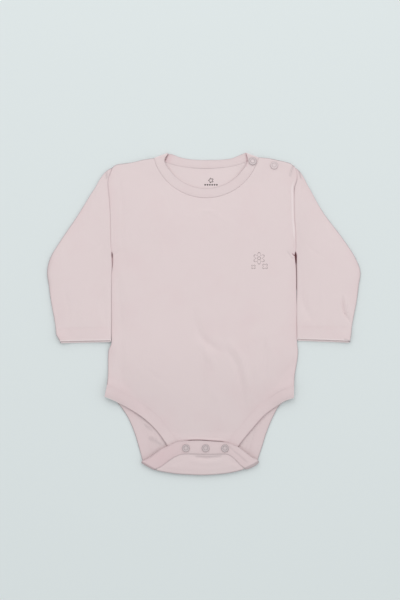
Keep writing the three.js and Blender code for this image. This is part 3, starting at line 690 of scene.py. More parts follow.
grain = np.dstack([np.broadcast_to(back_across * BODY_WIDTH, whole.shape[:2]), np.broadcast_to(-np.concatenate([[0], np.cumsum(run)])[:, None], whole.shape[:2])])
to_side = np.minimum(x - x[:, :1], x[:, -1:] - x)
tint = np.full(whole.shape[:2], 0.15)
shade = np.zeros(tint.shape)
# The web behind each armpit is painted with the shade of the gap it lies in, deep enough to reach the dark red of
# CREVICE; the lower back is a little deeper pink.
depth = (
    1
    + np.where(x < 0, 0.5 * smooth(y, 54, 62) + 0.5 * smooth(y, 70, 74), 0.7 + 0.9 * smooth(y, 62, 68))
)
tint[: len(base)] = 0.25 * smooth(-y, 90, 120) + depth * web * np.exp(-to_side / 9)
# The back's shade paints the neck seam line, the darker lower half, the shadow under the front's leg edge, the creases
# in the leg openings, the trough under the tab's band and the dark turn at the crotch fold.
shade[: len(base)] = (
    0.1 * np.exp(-((to_neck / 0.8) ** 2)) * (np.abs(x - 5) < 20) + LEG_GREY * smooth(-y, 20, 110)
    + 0.35 * (1 - smooth(below_front, 0.5, 2.2)) * smooth(-y, 104, 112)
)
shade[: len(base)] += 0.3 * near_line(x, y, [(-76.6, -142), (-72, -145), (-66.3, -149.2)], 0.9)
shade[: len(base)] += 0.3 * near_line(x, y, [(-69.5, -160), (-62, -163), (-55.5, -166.8)], 1.3)
trough = near_line(tab[..., 0], tab[..., 1], [(-9, -182.2), (5, -183.6), (21, -182)], 1.7)
shade[-len(tab) :, first : last + 1] = LEG_GREY + 0.3 * np.exp(-((to_arch / 0.8) ** 2)) + 0.35 * trough
shade[len(base) : len(base) + 9, first : last + 1] = np.interp(np.arange(9), [4, 5, 6, 7, 8], [1, 1, 0.8, 0.4, 0.1])[:, None]
rows_of_base = len(base) - 1
rounding = np.full(tint.shape, 9.0)
rounding[0, (back_across > NECK_FROM) & (back_across < NECK_TO)] = 0.12
rounding[0, np.abs(x[0] - 5) < 20] = 0.3
rounding[-1] = 0.3
rounding[rows_of_base, :first] = rounding[rows_of_base, last + 1 :] = 0.03
back = lay(
    "back_cloth",
    flat_slab(
        len(back_across) - 1, len(whole) - 1, lambda i, j: j > rows_of_base and not first < i < last
    ),
    whole,
    CLOTH,
    grain,
    tint,
    rounding,
    shade=shade,
)

# %% [markdown]
# ## Bands
#
# Each band is a strip folded lengthwise, so its free edge is a soft round fold, and it is sewn on
# along its other edge. The neckband turns over at the wearer's right neck point and overlaps itself
# at the other shoulder. The leg band of the back follows the tab round and lies on the front.


# %% Bands
def band_points(rows, along, across):
    rows = np.asarray(rows, float)
    outer, seam = curve(rows[:, :2], along), curve(rows[:, 2:], along)
    return outer[:, None] * (1 - across[None, :, None]) + seam[:, None] * across[None, :, None]


def grain_of(middle):
    """The strip unrolled: across its width, and along its length."""
    wide = np.linalg.norm(middle[:, -1] - middle[:, 0], axis=-1).mean()
    centre = middle[:, middle.shape[1] // 2]
    run = np.concatenate([[0], np.cumsum(np.linalg.norm(np.diff(centre, axis=0), axis=1))])
    return np.dstack(np.broadcast_arrays(np.linspace(0, wide, middle.shape[1])[None], run[:, None]))


band_across = np.array([0, 0.05, 0.11, 0.18, 0.27, 0.38, 0.5, 0.62, 0.73, 0.82, 0.89, 0.95, 1])
to_edge, to_seam = band_across[None] * 12, (1 - band_across[None]) * 12
edge_line, seam_line = np.exp(-((to_edge / 0.6) ** 2)), np.exp(-((to_seam / 0.7) ** 2))


def pressed(thickness):
    """Thickness across a band: as the panel at the seam, fuller towards the fold, round at the fold."""
    return CLOTH + (thickness - CLOTH) * (1 - np.exp(-((to_seam / 4) ** 2)))


def band(name, middle, thickness, seam_rounding, tint, shade):
    rounding = np.full(middle.shape[:2], 9.0)
    rounding[:, 0] = 0.45
    rounding[:, -1] = seam_rounding
    slab = flat_slab(middle.shape[1] - 1, middle.shape[0] - 1)
    return lay(name, slab, middle, thickness, grain_of(middle), tint, rounding, shade=shade)


neck_thick = pressed(NECK_BAND_PRESSED)
neck_back = band_points(NECKBAND_BACK, np.linspace(0, 1, 61), band_across)
neck_back = np.dstack([neck_back, np.broadcast_to(neck_thick / 2, neck_back.shape[:2])])
neck_over = band_points(neck_rows, np.linspace(0, 1, 121), band_across)
x, y = neck_over[..., 0], neck_over[..., 1]
z = front_underside(x, y) + neck_thick / 2 + 0.5 * unevenness(x, y, 1.3)
neck_over = np.dstack([neck_over, z])
inward = np.array([0.33, -0.94])
for rows, run in ((neck_back[::-1], np.arange(61)), (neck_over, np.arange(121))):
    rows[..., :2] += inward * np.exp(-run / 1.5)[:, None, None]
turn = fold_turn(neck_back[-1, :, :2], NECK_BAND_PRESSED / 2, float(z[0].mean()), 8)
middle = np.concatenate([neck_back, turn, neck_over])
x, y = middle[..., 0], middle[..., 1]
below = np.arange(len(middle))[:, None] < len(neck_back) + 4
# The neckband's tint paints the creases at the fold and at the lap as dark pink lines of shade, with a wider wash of
# deeper pink beside the fold; its shade paints lines along the free edge and the seam.
fold_mark = near_line(x, y, [(-46.2, 204), (-49.6, 195.6)], 1.2)
lap_mark = near_line(x, y, [(54.3, 206), (55.4, 196), (54.8, 188)], 1.0)
tint = (
    0.1 + below * (1.1 * fold_mark + 0.7 * near_line(x, y, [(-44, 203), (-47, 196)], 6))
    + (0.7 + 0.7 * below) * lap_mark
)
shade = 0.45 * edge_line + seam_line * np.where(below, 0.1, 0.08 * (1 - smooth(y, 188, 194)))
at_side = below[:, 0] & (np.abs(x[:, -1] - 5) > 20)
neckband = band("neckband_cloth", middle, neck_thick, np.where(at_side, 0.12, 0.3), tint, shade)

leg_thick = pressed(LEG_BAND_PRESSED)
leg_front = band_points(FRONT_BAND, np.linspace(0, 1, 201), band_across)
x, y = leg_front[..., 0], leg_front[..., 1]
z = front_underside(x, y) + leg_thick / 2 + lift(x, y) + 0.4 * unevenness(x, y, 2.1)
hips = 1 - smooth(-y, 112, 124)
# The front leg band's free edge gets painted shade, a deeper pink and a darker line, except at the hips, where it is
# painted paler as light; a soft painted shade lies near the hips' edges, a shade line on the seam by the right hip,
# and LEG_GREY darkens it all a little.
tint = 0.3 + edge_line * mix(0.7, -1.0, hips)
shade = (
    0.45 * edge_line * (1 - hips) + 0.2 * seam_line * smooth(x, 82, 90) * (1 - smooth(x, 100, 108))
    + 0.12 * hips * np.exp(-((to_edge / 4) ** 2)) + LEG_GREY
)
leg_band_front = band("front_leg_band_cloth", np.dstack([leg_front, z]), leg_thick, 0.03, tint, shade)


def low_band(rows):
    flat = band_points(rows, np.linspace(0, 1, 61), band_across)
    return np.dstack([flat, leg_thick / 2 + lift(flat[..., 0], flat[..., 1])])


tab_thick = pressed(TAB_BAND_PRESSED)
lower_left, lower_right = low_band(BACK_BAND_LEFT), low_band(BACK_BAND_RIGHT)[::-1]
tab_flat = band_points(TAB_BAND, np.linspace(0, 1, 121), band_across)
x, y = tab_flat[..., 0], tab_flat[..., 1]
wrinkle = (
    0.6 * unevenness(x * 1.6, y * 1.6, 0.4)
    + creases([(-0.3, 1.6, 33, -170, 44, -180, 55.4, -190)], x, y)
)
tab_middle = np.dstack([tab_flat, TAB_LOW + tab_thick / 2 + 0.2 * np.sin(np.pi * band_across) + wrinkle * smooth(to_seam, 0, 2)])
band_high = TAB_LOW + TAB_BAND_PRESSED / 2
turn_left = fold_turn(lower_left[-1, :, :2], LEG_BAND_PRESSED / 2, band_high, 9, bulge=0.6)
turn_right = fold_turn(lower_right[0, :, :2], LEG_BAND_PRESSED / 2, band_high, 9, bulge=2.2)[::-1]
middle = np.concatenate([lower_left, turn_left, tab_middle, turn_right, lower_right])
x, y = middle[..., 0], middle[..., 1]
on_tab = np.zeros((len(middle), 1))
on_tab[len(lower_left) + 4 : -len(lower_right) - 4] = 1
turned = np.zeros((len(middle), 1))
turned[len(lower_left) : len(lower_left) + 8] = turned[-len(lower_right) - 8 : -len(lower_right)] = 0.6
# The back leg band's tint paints a deeper pink as shade on the left end of the tab; its shade paints lines along the
# free edge and the tab's seam, the turns at both ends, the groove of a row of stitches near the right end and the
# darker lower half.
tint = 0.3 + on_tab * 0.5 * (1 - smooth(x, -40, -14))
shade = mix(1.0, 0.3, on_tab) * edge_line + on_tab * 0.3 * seam_line + turned + LEG_GREY
shade = shade + on_tab * 0.3 * near_line(x, y, [(33, -170), (44, -180), (55.4, -190)], 0.9)
thickness = mix(leg_thick, tab_thick, on_tab)
leg_band_back = band("back_leg_band_cloth", middle, thickness, 0.03 + 0.2 * on_tab[:, 0], tint, shade)

# %% [markdown]
# ## Sleeves
#
# A sleeve is one piece, closed under the arm. Laid flat it is a squashed tube: a lower layer on the
# table, a soft fold at each side and an upper layer that stands up a little. It starts along the
# armhole of the body and ends in a turned hem, whose mouth stands slightly open.

# %% Sleeves
HEM_START, SLEEVE_ACROSS = 0.9, 71
LEFT_CREASES = [
    (0.35, 7.0, -134, 150, -150, 124, -168, 92),
    (-1.1, 4.2, -126.5, 34, -127.5, 10, -127, -14),
    (-0.8, 1.6, -190, 71, -186, 80, -181, 88),
    (0.35, 4.5, -150, 34, -154, 8, -158, -16),
    (-0.35, 2.5, -123, 168, -124, 140, -122, 104),
    (-0.35, 3.5, -176, 24, -172, 4, -174, -12),
    (-0.35, 3.0, -126, 92, -138, 82, -150, 74),
]
RIGHT_CREASES = [
    (0.35, 7.0, 134, 152, 148, 128, 162, 102),
    (-1.0, 2.8, 124, 178, 124.5, 166, 124, 154),
    (-1.1, 4.5, 123, 28, 128, 10, 138, -9),
    (-2.0, 1.7, 177, 20, 179.5, 1, 188, -13),
    (1.3, 2.2, 181, 24, 184, 6, 190, -8),
    (-0.35, 3.0, 128, 92, 140, 80, 152, 72),
    (0.3, 5.0, 150, 26, 152, 4, 150, -14),
]


def sleeve(name, rows, crease_rows, marks, edge_x, corner, web_from, cap, elbow):
    rows = np.asarray(rows, float)
    sign = np.sign(rows[0, 0])
    steps = np.concatenate([np.linspace(0, 0.02, 5), np.linspace(0.03, HEM_START - 0.03, 118)])
    hem_steps = np.linspace(HEM_START - 0.024, HEM_START + 0.03, 16)
    t = np.concatenate([steps, hem_steps, np.linspace(HEM_START + 0.036, 1, 14)])
    inner, outer = curve(rows[:, 2:], t), curve(rows[:, :2], t)
    length = np.linalg.norm(outer - inner, axis=1)[:, None]
    hem = smooth(t, HEM_START - 0.008, HEM_START + 0.012)[:, None]
    wall = mix(CLOTH, HEM_CLOTH * 0.9, hem)
    cuff = smooth(t, HEM_START - 0.3, HEM_START)[:, None]
    edge = mix(SLEEVE_EDGE, CUFF_EDGE, cuff)
    radius = edge / 2
    bend = radius - wall / 2
    share = np.linspace(0, 1, SLEEVE_ACROSS)[None]
    turns = np.radians([-66, -33, 0, 33, 66])[None]
    inside = radius + share * (length - 2 * radius)
    along = np.hstack([inside, length - radius + bend * np.cos(turns), inside[:, ::-1], radius - bend * np.cos(turns) ** 0.6])
    under = np.broadcast_to(wall / 2, inside.shape)
    upper = np.hstack([np.zeros_like(inside), np.broadcast_to(np.sin(turns) * 0.5 + 0.5, (len(t), 5)), np.ones_like(inside), np.broadcast_to(0.5 - np.sin(turns) * 0.5, (len(t), 5))])
    grown = smooth(t, 0.93, 1)[:, None] * 0.0065 * (1 - 2 * upper)
    far = (t[:, None] + grown).ravel()
    inner_at = curve(rows[:, 2:], far).reshape(*along.shape, 2)
    outer_at = curve(rows[:, :2], far).reshape(*along.shape, 2)
    rounded = np.sin(np.pi * np.clip(far.reshape(along.shape) / 0.11, 0, 1) ** 0.7)
    outer_at = outer_at + cap * rounded[..., None] * np.array([sign * 0.78, 0.62])
    beyond = (np.clip(t[:, None] + grown - 1, 0, 1) * SLEEVE_LENGTH)[..., None]
    part = (along / length)[..., None]
    spot = inner_at * (1 - part) + outer_at * part
    spot[..., 1] -= beyond[..., 0]
    pull = (1 - smooth(t, 0, 0.3))[:, None]
    straight = mix(rows[0, 2], rows[0, 0], along / length)
    seam_x = edge_x(mix(rows[0, 3], rows[0, 1], along / length)) + sign * EDGE_GAP
    spot[..., 0] += pull * (seam_x - straight)
    spot[..., 0] -= sign * corner * smooth(t, 0.94, 1.0)[:, None] * np.clip(along / length, 0, 1) ** 6
    x, y = spot[..., 0], spot[..., 1]
    across = np.sin(np.pi * np.clip(along / length, 0, 1)) ** 0.7
    from_cuff = (1 - t)[:, None] * SLEEVE_LENGTH
    puff = SLEEVE_PUFF * smooth(t, -0.05, 0.3)[:, None] * mix(1, 0.55, cuff)
    ripple = creases(crease_rows, x, y) * np.minimum(1, 1.6 * across) * smooth(t, 0, 0.08)[:, None]
    top = np.maximum(edge + across * puff + ripple + unevenness(x, y, 3.0) * across, 2 * wall + 0.1)
    top -= 0.08 * np.exp(-(((t - HEM_START - 0.012) * SLEEVE_LENGTH / 2.2) ** 2))[:, None] * np.minimum(1, 2 * across)
    top -= 0.25 * np.exp(-((t * SLEEVE_LENGTH / 1.4) ** 2))[:, None]
    turned = radius + bend * np.sin(turns)
    squarer = radius + bend * np.sign(turns) * np.abs(np.sin(turns)) ** 0.6
    z = np.hstack([under, turned, (top - wall / 2)[:, len(share[0]) + 5 : 2 * len(share[0]) + 5], (2 * radius - squarer)])
    z = z + lift(x, y)
    middle = np.dstack([x, y, z])
    round_run = np.concatenate([[0], np.cumsum(np.linalg.norm(np.diff(middle[40], axis=0), axis=1))])
    centre = middle[:, SLEEVE_ACROSS // 2]
    run = np.concatenate([[0], np.cumsum(np.linalg.norm(np.diff(centre, axis=0), axis=1))])
    grain = np.dstack(np.broadcast_arrays(round_run[None], -run[:, None]))
    to_armhole = (t * SLEEVE_LENGTH)[:, None]
    # The sleeve's tint paints shade as a deeper pink at the outer fold, the armhole and the hem, and light as a paler
    # rim at the cuff's mouth; the inner edge beside the armpit gap is painted dark as shade.
    tint = (
        0.3 * np.exp(-(length - along) / 6) + 0.15 * np.exp(-to_armhole / 4) + 0.1 * hem
        - 0.8 * np.exp(-((from_cuff / 1.2) ** 2))
    )
    inner_side = np.clip(1 - along / 2.2, 0, 1)
    tint = (
        tint
        + inner_side * smooth(y, *web_from) * (1 - smooth(y, 78, 82)) * (0.35 + 0.8 * smooth(y, 62, 69) + 1.2 * smooth(y, 70, 74))
    )
    # Its shade paints the outer fold, the inner edge beside the body, the armhole seam, a soft shadow along the elbow
    # and the creases listed in marks.
    shade = (
        np.exp(-(((length - along - wall / 2) / 0.5) ** 2))
        + 0.3 * np.exp(-(((along - wall / 2) / 0.4) ** 2)) * smooth(-y, -76, -70)
    )
    shade = shade + 0.12 * np.exp(-((to_armhole / 0.7) ** 2))
    shade = (
        shade
        + elbow * np.exp(-(((length - along) / 3.5) ** 2)) * smooth(y, 18, 44) * (1 - smooth(y, 56, 84))
    )
    for strength, width, *line in marks:
        shade = shade + strength * near_line(x, y, np.reshape(line, (-1, 2)), width)
    thick = wall * (1 - 0.3 * np.exp(-((t * SLEEVE_LENGTH / 1.2) ** 2)))[:, None]
    rounding = np.full(along.shape, 9.0)
    rounding[0] = 0.3
    rounding[-1] = 0.5
    slab = tube_slab(middle.shape[1], len(t) - 1)
    piece = lay(name, slab, middle, np.broadcast_to(thick, along.shape), grain, tint, rounding, closed=True, shade=shade)
    return piece, middle, t, wall


def edge_of(column):
    return lambda y: np.interp(y, front_side_y[::-1], column[::-1])


# Marks of painted shade on small creases: strength, width and the points of a line.
LEFT_MARKS = [(0.6, 0.9, -124.2, 181, -123.9, 173)]
RIGHT_MARKS = [(0.6, 0.9, 120.4, 183.6, 122.2, 180.5, 124, 173), (0.5, 1.0, 180, -33, 187, -35.5)]
wearer_right_sleeve, left_rings, ring_steps, left_wall = sleeve(
    "sleeve_cloth_right", SLEEVE_LEFT, LEFT_CREASES, LEFT_MARKS, edge_of(front_left_x), 4.6, (50, 58), 2.8, 0.35
)
wearer_left_sleeve, right_rings, _, right_wall = sleeve(
    "sleeve_cloth_left", SLEEVE_RIGHT, RIGHT_CREASES, RIGHT_MARKS, edge_of(front_right_x), 0.8, (18, 34), 1.8, 0.1
)

# %% [markdown]
# ## Stitches
#
# The hem of each cuff is held by two rows of stitches, about 15 and 18 mm above its edge. The band
# of the tab has two short rows at one end. A stitch is a short length of thread lying half sunk in
# the cloth, and a small round rod shows that.


# %% Stitches
def thread_rod(bm, start, end, radius, lift_by):
    start, end = Vector(start) * MM, Vector(end) * MM
    length = (end - start).length
    turn = (end - start).to_track_quat("Z", "Y").to_matrix().to_4x4()
    made = bmesh.ops.create_cone(bm, cap_ends=True, segments=6, radius1=radius * MM, radius2=radius * MM, depth=length * 0.6)["verts"]
    centre = (start + end) / 2 + Vector((0, 0, lift_by * MM))
    bmesh.ops.transform(bm, verts=made, matrix=Matrix.Translation(centre) @ turn)


def stitch_row(bm, line, pitch, radius=0.2, lift_by=0.0):
    line = np.asarray(line)
    run = np.concatenate([[0], np.cumsum(np.linalg.norm(np.diff(line, axis=0), axis=1))])
    count = int(run[-1] / pitch)
    for k in range(count):
        ends = [(k + share) * run[-1] / count for share in (0.12, 0.88)]
        a, b = ([np.interp(end, run, line[:, n]) for n in range(3)] for end in ends)
        thread_rod(bm, a, b, radius, lift_by)


bm = bmesh.new()
for rings, wall in ((left_rings, left_wall), (right_rings, right_wall)):
    for offset in (0.004, 0.02):
        k = int(np.argmin(np.abs(ring_steps - HEM_START - offset)))
        half = wall[k, 0] / 2
        upper = rings[k, SLEEVE_ACROSS + 8 : 2 * SLEEVE_ACROSS] + [0, 0, half]
        lower = rings[k, 3 : SLEEVE_ACROSS - 3] - [0, 0, half]
        stitch_row(bm, upper, 2.6)
        stitch_row(bm, lower, 2.6, lift_by=0.15)
for column in (5, 11):
    stitch_row(bm, tab_middle[86:110, column] + [0, 0, tab_thick[0, column] / 2], 2.6)
bmesh.ops.recalc_face_normals(bm, faces=bm.faces[:])
mesh = bpy.data.meshes.new("stitches")
bm.to_mesh(mesh)
bm.free()
stitches = bpy.data.objects.new("stitches", mesh)
bpy.context.scene.collection.objects.link(stitches)
print("stitches:", len(mesh.polygons), "faces")

# %% [markdown]
# ## Ring snaps
#
# Each snap is a small enamelled ring of metal, pressed through the cloth. Its rim is rounded, its
# middle is sunk and holds the flat end of the socket. One outline is spun round the middle.

# %% Ring snaps
SNAP_OUTLINE = [
    (4.75, 0.0), (4.95, 0.25), (4.9, 0.6), (4.55, 0.9), (4.1, 0.98), (3.6, 0.92), (3.2, 0.68),
    (2.95, 0.4), (2.6, 0.3), (2.25, 0.36), (2.05, 0.62), (1.75, 0.74), (1.2, 0.7), (0.6, 0.56), (0.0, 0.52),
]  # fmt: skip


def snap(name, node, groove):
    low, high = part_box(node)
    centre = (low + high) / 2
    bm = bmesh.new()
    verts = [bm.verts.new((r * MM, 0, h * MM)) for r, h in [(0.0, 0.0), *SNAP_OUTLINE]]
    edges = [bm.edges.new(pair) for pair in zip(verts[:-1], verts[1:])]
    bmesh.ops.spin(bm, geom=verts + edges, cent=(0, 0, 0), axis=(0, 0, 1), angle=2 * math.pi, steps=48, use_merge=True)
    bmesh.ops.remove_doubles(bm, verts=bm.verts[:], dist=1e-6)
    bmesh.ops.recalc_face_normals(bm, faces=bm.faces[:])
    reach = np.array([vert.co.xy.length for vert in bm.verts]) / MM
    bmesh.ops.translate(bm, verts=bm.verts[:], vec=(centre.x, centre.y, low.z))
    mesh = bpy.data.meshes.new(name)
    bm.to_mesh(mesh)
    bm.free()
    # rim_shade paints shade into the groove round the rim and round the sunk middle.
    groove_shade = np.exp(-(((reach - 4.7) / 0.5) ** 2)) + 0.8 * np.exp(-(((reach - 2.7) / 0.5) ** 2))
    mesh.attributes.new("rim_shade", "FLOAT", "POINT").data.foreach_set("value", (groove * groove_shade).astype(np.float32))
    mesh.polygons.foreach_set("use_smooth", np.ones(len(mesh.polygons), bool))
    piece = bpy.data.objects.new(name, mesh)
    bpy.context.scene.collection.objects.link(piece)
    return piece


snap_nodes = ["shoulder_snap_neck", "shoulder_snap_arm", "crotch_snap_1", "crotch_snap_2", "crotch_snap_3"]
grooves = [1.0, 0.45, 0.75, 0.75, 0.85]
snaps = {node: snap(node.replace("snap", "ring"), node, groove) for node, groove in zip(snap_nodes, grooves)}
print("snaps:", {node: len(piece.data.polygons) for node, piece in snaps.items()})

# %% [markdown]
# ## The look of the knit
#
# Interlock shows fine upright columns of loops, less than a millimetre wide. The colour is a very
# pale pink. A deeper pink is painted as shade at seams, folded edges and creases, dark red in the
# narrowest gaps, and a paler pink is painted as light on a few ridges and rims. The surface is
# matt, with the faint bloom of cotton fibres.


# %% The look of the knit
def link(tree, a, b):
    tree.links.new(a, b)


def math_node(tree, operation, a, b=None, clamp=False):
    node = tree.nodes.new("ShaderNodeMath")
    node.operation, node.use_clamp = operation, clamp
    for socket, value in zip(node.inputs, (a, b)):
        if value is None:
            continue
        if isinstance(value, (int, float)):
            socket.default_value = value
        else:
            link(tree, value, socket)
    return node.outputs[0]


def mix_colour(tree, share, a, b, blend="MIX"):
    node = tree.nodes.new("ShaderNodeMix")
    node.data_type, node.blend_type = "RGBA", blend
    for socket, value in ((node.inputs["Factor"], share), (node.inputs[6], a), (node.inputs[7], b)):
        if isinstance(value, (tuple, float, int)):
            socket.default_value = (*value, 1) if isinstance(value, tuple) else value
        else:
            link(tree, value, socket)
    return node.outputs[2]


def noise(tree, vector, scale, detail=2.0, rough=0.5):
    node = tree.nodes.new("ShaderNodeTexNoise")
    node.inputs["Scale"].default_value = scale
    node.inputs["Detail"].default_value = detail
    node.inputs["Roughness"].default_value = rough
    link(tree, vector, node.inputs["Vector"])
    return node.outputs["Fac"]


def knit(name, plain, deep, printed=None, bump=0.5):
    material = bpy.data.materials.new(name)
    material.use_nodes = True
    tree = material.node_tree
    surface = tree.nodes["Principled BSDF"]
    place = tree.nodes.new("ShaderNodeTexCoord").outputs["Object"]
    grain = tree.nodes.new("ShaderNodeUVMap")
    grain.uv_map = "grain"
    split = tree.nodes.new("ShaderNodeSeparateXYZ")
    link(tree, grain.outputs["UV"], split.inputs["Vector"])
    column = math_node(tree, "MULTIPLY", split.outputs["X"], 1000 / 0.9)
    course = math_node(tree, "MULTIPLY", split.outputs["Y"], 1000 / 0.75)
    slant = math_node(tree, "PINGPONG", column, 0.5)
    loop = math_node(tree, "ADD", course, math_node(tree, "MULTIPLY", slant, 1.1))
    rows = math_node(tree, "SINE", math_node(tree, "MULTIPLY", loop, 2 * math.pi))
    ribs = math_node(tree, "SINE", math_node(tree, "MULTIPLY", slant, 2 * math.pi))
    loops = math_node(tree, "ADD", math_node(tree, "MULTIPLY", ribs, 0.55), math_node(tree, "MULTIPLY", rows, 0.2))
    fibres = noise(tree, place, 2600, 3.0, 0.6)
    height = math_node(tree, "ADD", loops, math_node(tree, "MULTIPLY", fibres, 0.8))
    bumps = tree.nodes.new("ShaderNodeBump")
    bumps.inputs["Strength"].default_value = bump
    bumps.inputs["Distance"].default_value = 0.00016
    link(tree, height, bumps.inputs["Height"])
    link(tree, bumps.outputs["Normal"], surface.inputs["Normal"])
    # The painted tint: from 0 to 1 it deepens the pink as painted shade, with blotches of uneven tone added.
    seam = tree.nodes.new("ShaderNodeAttribute")
    seam.attribute_name = "painted_shade_and_light"
    blotch = noise(tree, place, 26, 2.0, 0.55)
    deepened = math_node(tree, "ADD", seam.outputs["Fac"], math_node(tree, "MULTIPLY", math_node(tree, "SUBTRACT", blotch, 0.5), 0.7), clamp=True)
    colour = mix_colour(tree, deepened, plain, deep)
    # Below 0 it pales the pink towards PALE, a painted highlight.
    painted_highlight = math_node(tree, "MULTIPLY", seam.outputs["Fac"], -1.0, clamp=True)
    colour = mix_colour(tree, painted_highlight, colour, PALE)
    # Above 1 it darkens towards CREVICE, painted shade deep in a gap or slit.
    hidden = math_node(tree, "SUBTRACT", seam.outputs["Fac"], 1.0, clamp=True)
    colour = mix_colour(tree, hidden, colour, CREVICE)
    # A faint painted shade in the hollows between the loops.
    shaded = math_node(tree, "MULTIPLY", math_node(tree, "SUBTRACT", 0.5, math_node(tree, "MULTIPLY", loops, 0.5)), 0.1, clamp=True)
    colour = mix_colour(tree, shaded, colour, tuple(channel * 0.6 for channel in deep))
    # rim_shade multiplies in RIM_DARK, painted shade in grooves and at edges that turn under.
    rim = tree.nodes.new("ShaderNodeAttribute")
    rim.attribute_name = "rim_shade"
    colour = mix_colour(tree, math_node(tree, "MULTIPLY", rim.outputs["Fac"], 1.0, clamp=True), colour, RIM_DARK, "MULTIPLY")
    if printed:
        ink, mask = printed
        colour = mix_colour(tree, mask(tree, place), colour, ink)
    link(tree, colour, surface.inputs["Base Color"])
    surface.inputs["Roughness"].default_value = 0.92
    surface.inputs["Specular IOR Level"].default_value = 0.2
    surface.inputs["Sheen Weight"].default_value = 0.12
    surface.inputs["Sheen Roughness"].default_value = 0.5
    return material


# %% [markdown]
# The chest has a small printed flower and the inside of the back neck a printed mark, both plain
# generic designs in flat ink. They are drawn in the colour alone: rings, rays and dots measured
# from their own middle.


# %% The two prints
def ring_mask(tree, x, y, centre, radius, width, lobes=0, wave=0.0):
    """Ink on a ring of that radius, waved into lobes where it is a flower."""
    dx = math_node(tree, "SUBTRACT", x, centre[0] * MM)
    dy = math_node(tree, "SUBTRACT", y, centre[1] * MM)
    reach = math_node(tree, "SQRT", math_node(tree, "ADD", math_node(tree, "MULTIPLY", dx, dx), math_node(tree, "MULTIPLY", dy, dy)))
    if lobes:
        angle = math_node(tree, "MULTIPLY", math_node(tree, "ARCTAN2", dy, dx), lobes / 2)
        swing = math_node(tree, "MULTIPLY", math_node(tree, "ABSOLUTE", math_node(tree, "SINE", angle)), wave * MM)
        reach = math_node(tree, "SUBTRACT", reach, swing)
    off = math_node(tree, "ABSOLUTE", math_node(tree, "SUBTRACT", reach, radius * MM))
    return math_node(tree, "LESS_THAN", off, width * MM)


def any_of(tree, masks):
    total = masks[0]
    for mask in masks[1:]:
        total = math_node(tree, "MAXIMUM", total, mask)
    return total


def flower_print(tree, place):
    split = tree.nodes.new("ShaderNodeSeparateXYZ")
    link(tree, place, split.inputs["Vector"])
    x, y = split.outputs["X"], split.outputs["Y"]
    shapes = [
        ring_mask(tree, x, y, (70.6, 70.5), 3.2, 0.4, 6, 4.2),
        ring_mask(tree, x, y, (70.6, 70.5), 1.9, 0.35),
        ring_mask(tree, x, y, (78.2, 60.2), 1.7, 0.35, 4, 2.0),
        ring_mask(tree, x, y, (63.4, 59.6), 1.2, 0.35, 4, 1.6),
    ]
    return any_of(tree, shapes)


def neck_print(tree, place):
    split = tree.nodes.new("ShaderNodeSeparateXYZ")
    link(tree, place, split.inputs["Vector"])
    x, y = split.outputs["X"], split.outputs["Y"]
    shapes = [ring_mask(tree, x, y, (9.3, 170.2), 1.3, 0.5, 5, 1.6)]
    shapes += [ring_mask(tree, x, y, (9.3 + step, 164.6), 0.5, 0.55) for step in (-7.5, -4.5, -1.5, 1.5, 4.5, 7.5)]
    return any_of(tree, shapes)


# DEEP is the pink of painted shade at seams and edges, CREVICE painted shade deep in a gap, PALE painted light on
# ridges and rims, RIM_DARK the painted shade of grooves and turned edges.
PLAIN, DEEP = (0.82, 0.69, 0.695), (0.79, 0.6, 0.62)
CREVICE, PALE = (0.15, 0.05, 0.06), (0.98, 0.86, 0.87)
RIM_DARK = (0.6, 0.61, 0.62)
front_knit = knit("interlock_front", PLAIN, DEEP, ((0.36, 0.28, 0.285), flower_print))
back_knit = knit("interlock_back", PLAIN, DEEP, ((0.07, 0.055, 0.055), neck_print))
sleeve_knit = knit("interlock_sleeve", PLAIN, DEEP)
band_knit = knit("interlock_band", PLAIN, DEEP, bump=0.6)
for piece, material in (
    (front, front_knit), (back, back_knit), (wearer_right_sleeve, sleeve_knit), (wearer_left_sleeve, sleeve_knit),
    (neckband, band_knit), (leg_band_front, band_knit), (leg_band_back, band_knit),
):  # fmt: skip
    piece.data.materials.append(material)

thread = bpy.data.materials.new("sewing_thread")
thread.use_nodes = True
surface = thread.node_tree.nodes["Principled BSDF"]
surface.inputs["Base Color"].default_value = (0.8, 0.65, 0.66, 1)
surface.inputs["Roughness"].default_value = 0.6
stitches.data.materials.append(thread)


def enamel(name, dark, pale):
    material = bpy.data.materials.new(name)
    material.use_nodes = True
    tree = material.node_tree
    surface = tree.nodes["Principled BSDF"]
    spots = noise(tree, tree.nodes.new("ShaderNodeTexCoord").outputs["Object"], 900, 3.0)
    # rim_shade multiplies in RIM_DARK, painted shade in the snap's grooves; the spots are the enamel's own uneven
    # tone.
    rim = tree.nodes.new("ShaderNodeAttribute")
    rim.attribute_name = "rim_shade"
    colour = mix_colour(tree, spots, dark, pale)
    link(tree, mix_colour(tree, rim.outputs["Fac"], colour, RIM_DARK, "MULTIPLY"), surface.inputs["Base Color"])
    surface.inputs["Roughness"].default_value = 0.32
    surface.inputs["Coat Weight"].default_value = 0.3
    return material


grey_enamel = enamel("grey_enamel", (0.58, 0.48, 0.49), (0.7, 0.59, 0.6))
pale_enamel = enamel("pale_enamel", (0.72, 0.6, 0.61), (0.79, 0.67, 0.68))
for node, piece in snaps.items():
    piece.data.materials.append(pale_enamel if "shoulder" in node else grey_enamel)

# %% [markdown]
# ## Table, light and camera
#
# A plain pale table top, one wide soft light from beyond the neck and an even sky, so that folds
# shade softly and the shadows fall towards the legs. The camera looks straight down.

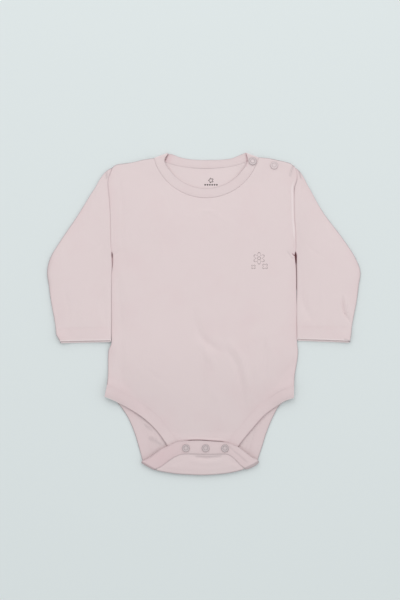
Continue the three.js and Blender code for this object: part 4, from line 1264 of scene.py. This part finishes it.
# %% Table, light and camera
bm = bmesh.new()
bmesh.ops.create_grid(bm, x_segments=1, y_segments=1, size=2.0)
bmesh.ops.translate(bm, verts=bm.verts[:], vec=(0, 0, -0.0003))
mesh = bpy.data.meshes.new("table_top")
bm.to_mesh(mesh)
bm.free()
table = bpy.data.objects.new("table_top", mesh)
bpy.context.scene.collection.objects.link(table)
top = bpy.data.materials.new("pale_table")
top.use_nodes = True
surface = top.node_tree.nodes["Principled BSDF"]
surface.inputs["Base Color"].default_value = (0.765, 0.812, 0.818, 1)
surface.inputs["Roughness"].default_value = 0.95
surface.inputs["Specular IOR Level"].default_value = 0.1
mesh.materials.append(top)
table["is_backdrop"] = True

world = bpy.data.worlds.new("room_light")
bpy.context.scene.world = world
world.use_nodes = True
world.node_tree.nodes["Background"].inputs["Color"].default_value = (0.97, 1.0, 1.0, 1)
world.node_tree.nodes["Background"].inputs["Strength"].default_value = 0.69


def soft_light(name, place, aim, size, power, colour):
    data = bpy.data.lights.new(name, "AREA")
    data.shape, data.size, data.energy, data.color = "DISK", size, power, colour
    lamp = bpy.data.objects.new(name, data)
    bpy.context.scene.collection.objects.link(lamp)
    lamp.location = place
    lamp.rotation_euler = (Vector(aim) - Vector(place)).to_track_quat("-Z", "Y").to_euler()
    lamp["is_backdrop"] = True
    return lamp


soft_light("window_light", (-0.3, 1.6, 1.85), (0, 0, 0), 2.6, 19, (1.0, 0.99, 0.98))
soft_light("room_fill", (2.3, 0.5, 1.9), (0, 0, 0), 3.0, 9.5, (1.0, 1.0, 1.0))

camera_data = bpy.data.cameras.new("camera")
camera_data.sensor_fit, camera_data.sensor_width = "AUTO", 36
camera_data.lens = 36 * 1.6 / 0.768
camera = bpy.data.objects.new("camera", camera_data)
bpy.context.scene.collection.objects.link(camera)
camera.location = (-0.0048, 0.0173, 1.6)
camera.rotation_euler = (0, 0, 0)
bpy.context.scene.camera = camera
bpy.context.scene.view_settings.view_transform = "Standard"

# %% [markdown]
# ## What each piece stands for
#
# All cloth lies still, so every piece rides on the one body of the part, and the solid it stands
# for is hidden. A finished shell comes out 1 to 10 percent larger than its flat cut, from its
# creases and from the thickness of its edges.

# %% What each piece stands for
cloth_pieces = {
    "front_panel": front, "back_panel": back, "sleeve_right": wearer_right_sleeve, "sleeve_left": wearer_left_sleeve,
    "neckband": neckband, "leg_band_front": leg_band_front, "leg_band_back": leg_band_back,
}  # fmt: skip
for node, piece in {**cloth_pieces, **snaps}.items():
    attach(piece, "root")
    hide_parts(node)
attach(stitches, "root")


# %% [markdown]
# ## Size and finish
#
# The box of the finished pieces is printed.

# %% Size and finish
low, high = (list(corner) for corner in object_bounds())
print("pieces' box:", low, high)
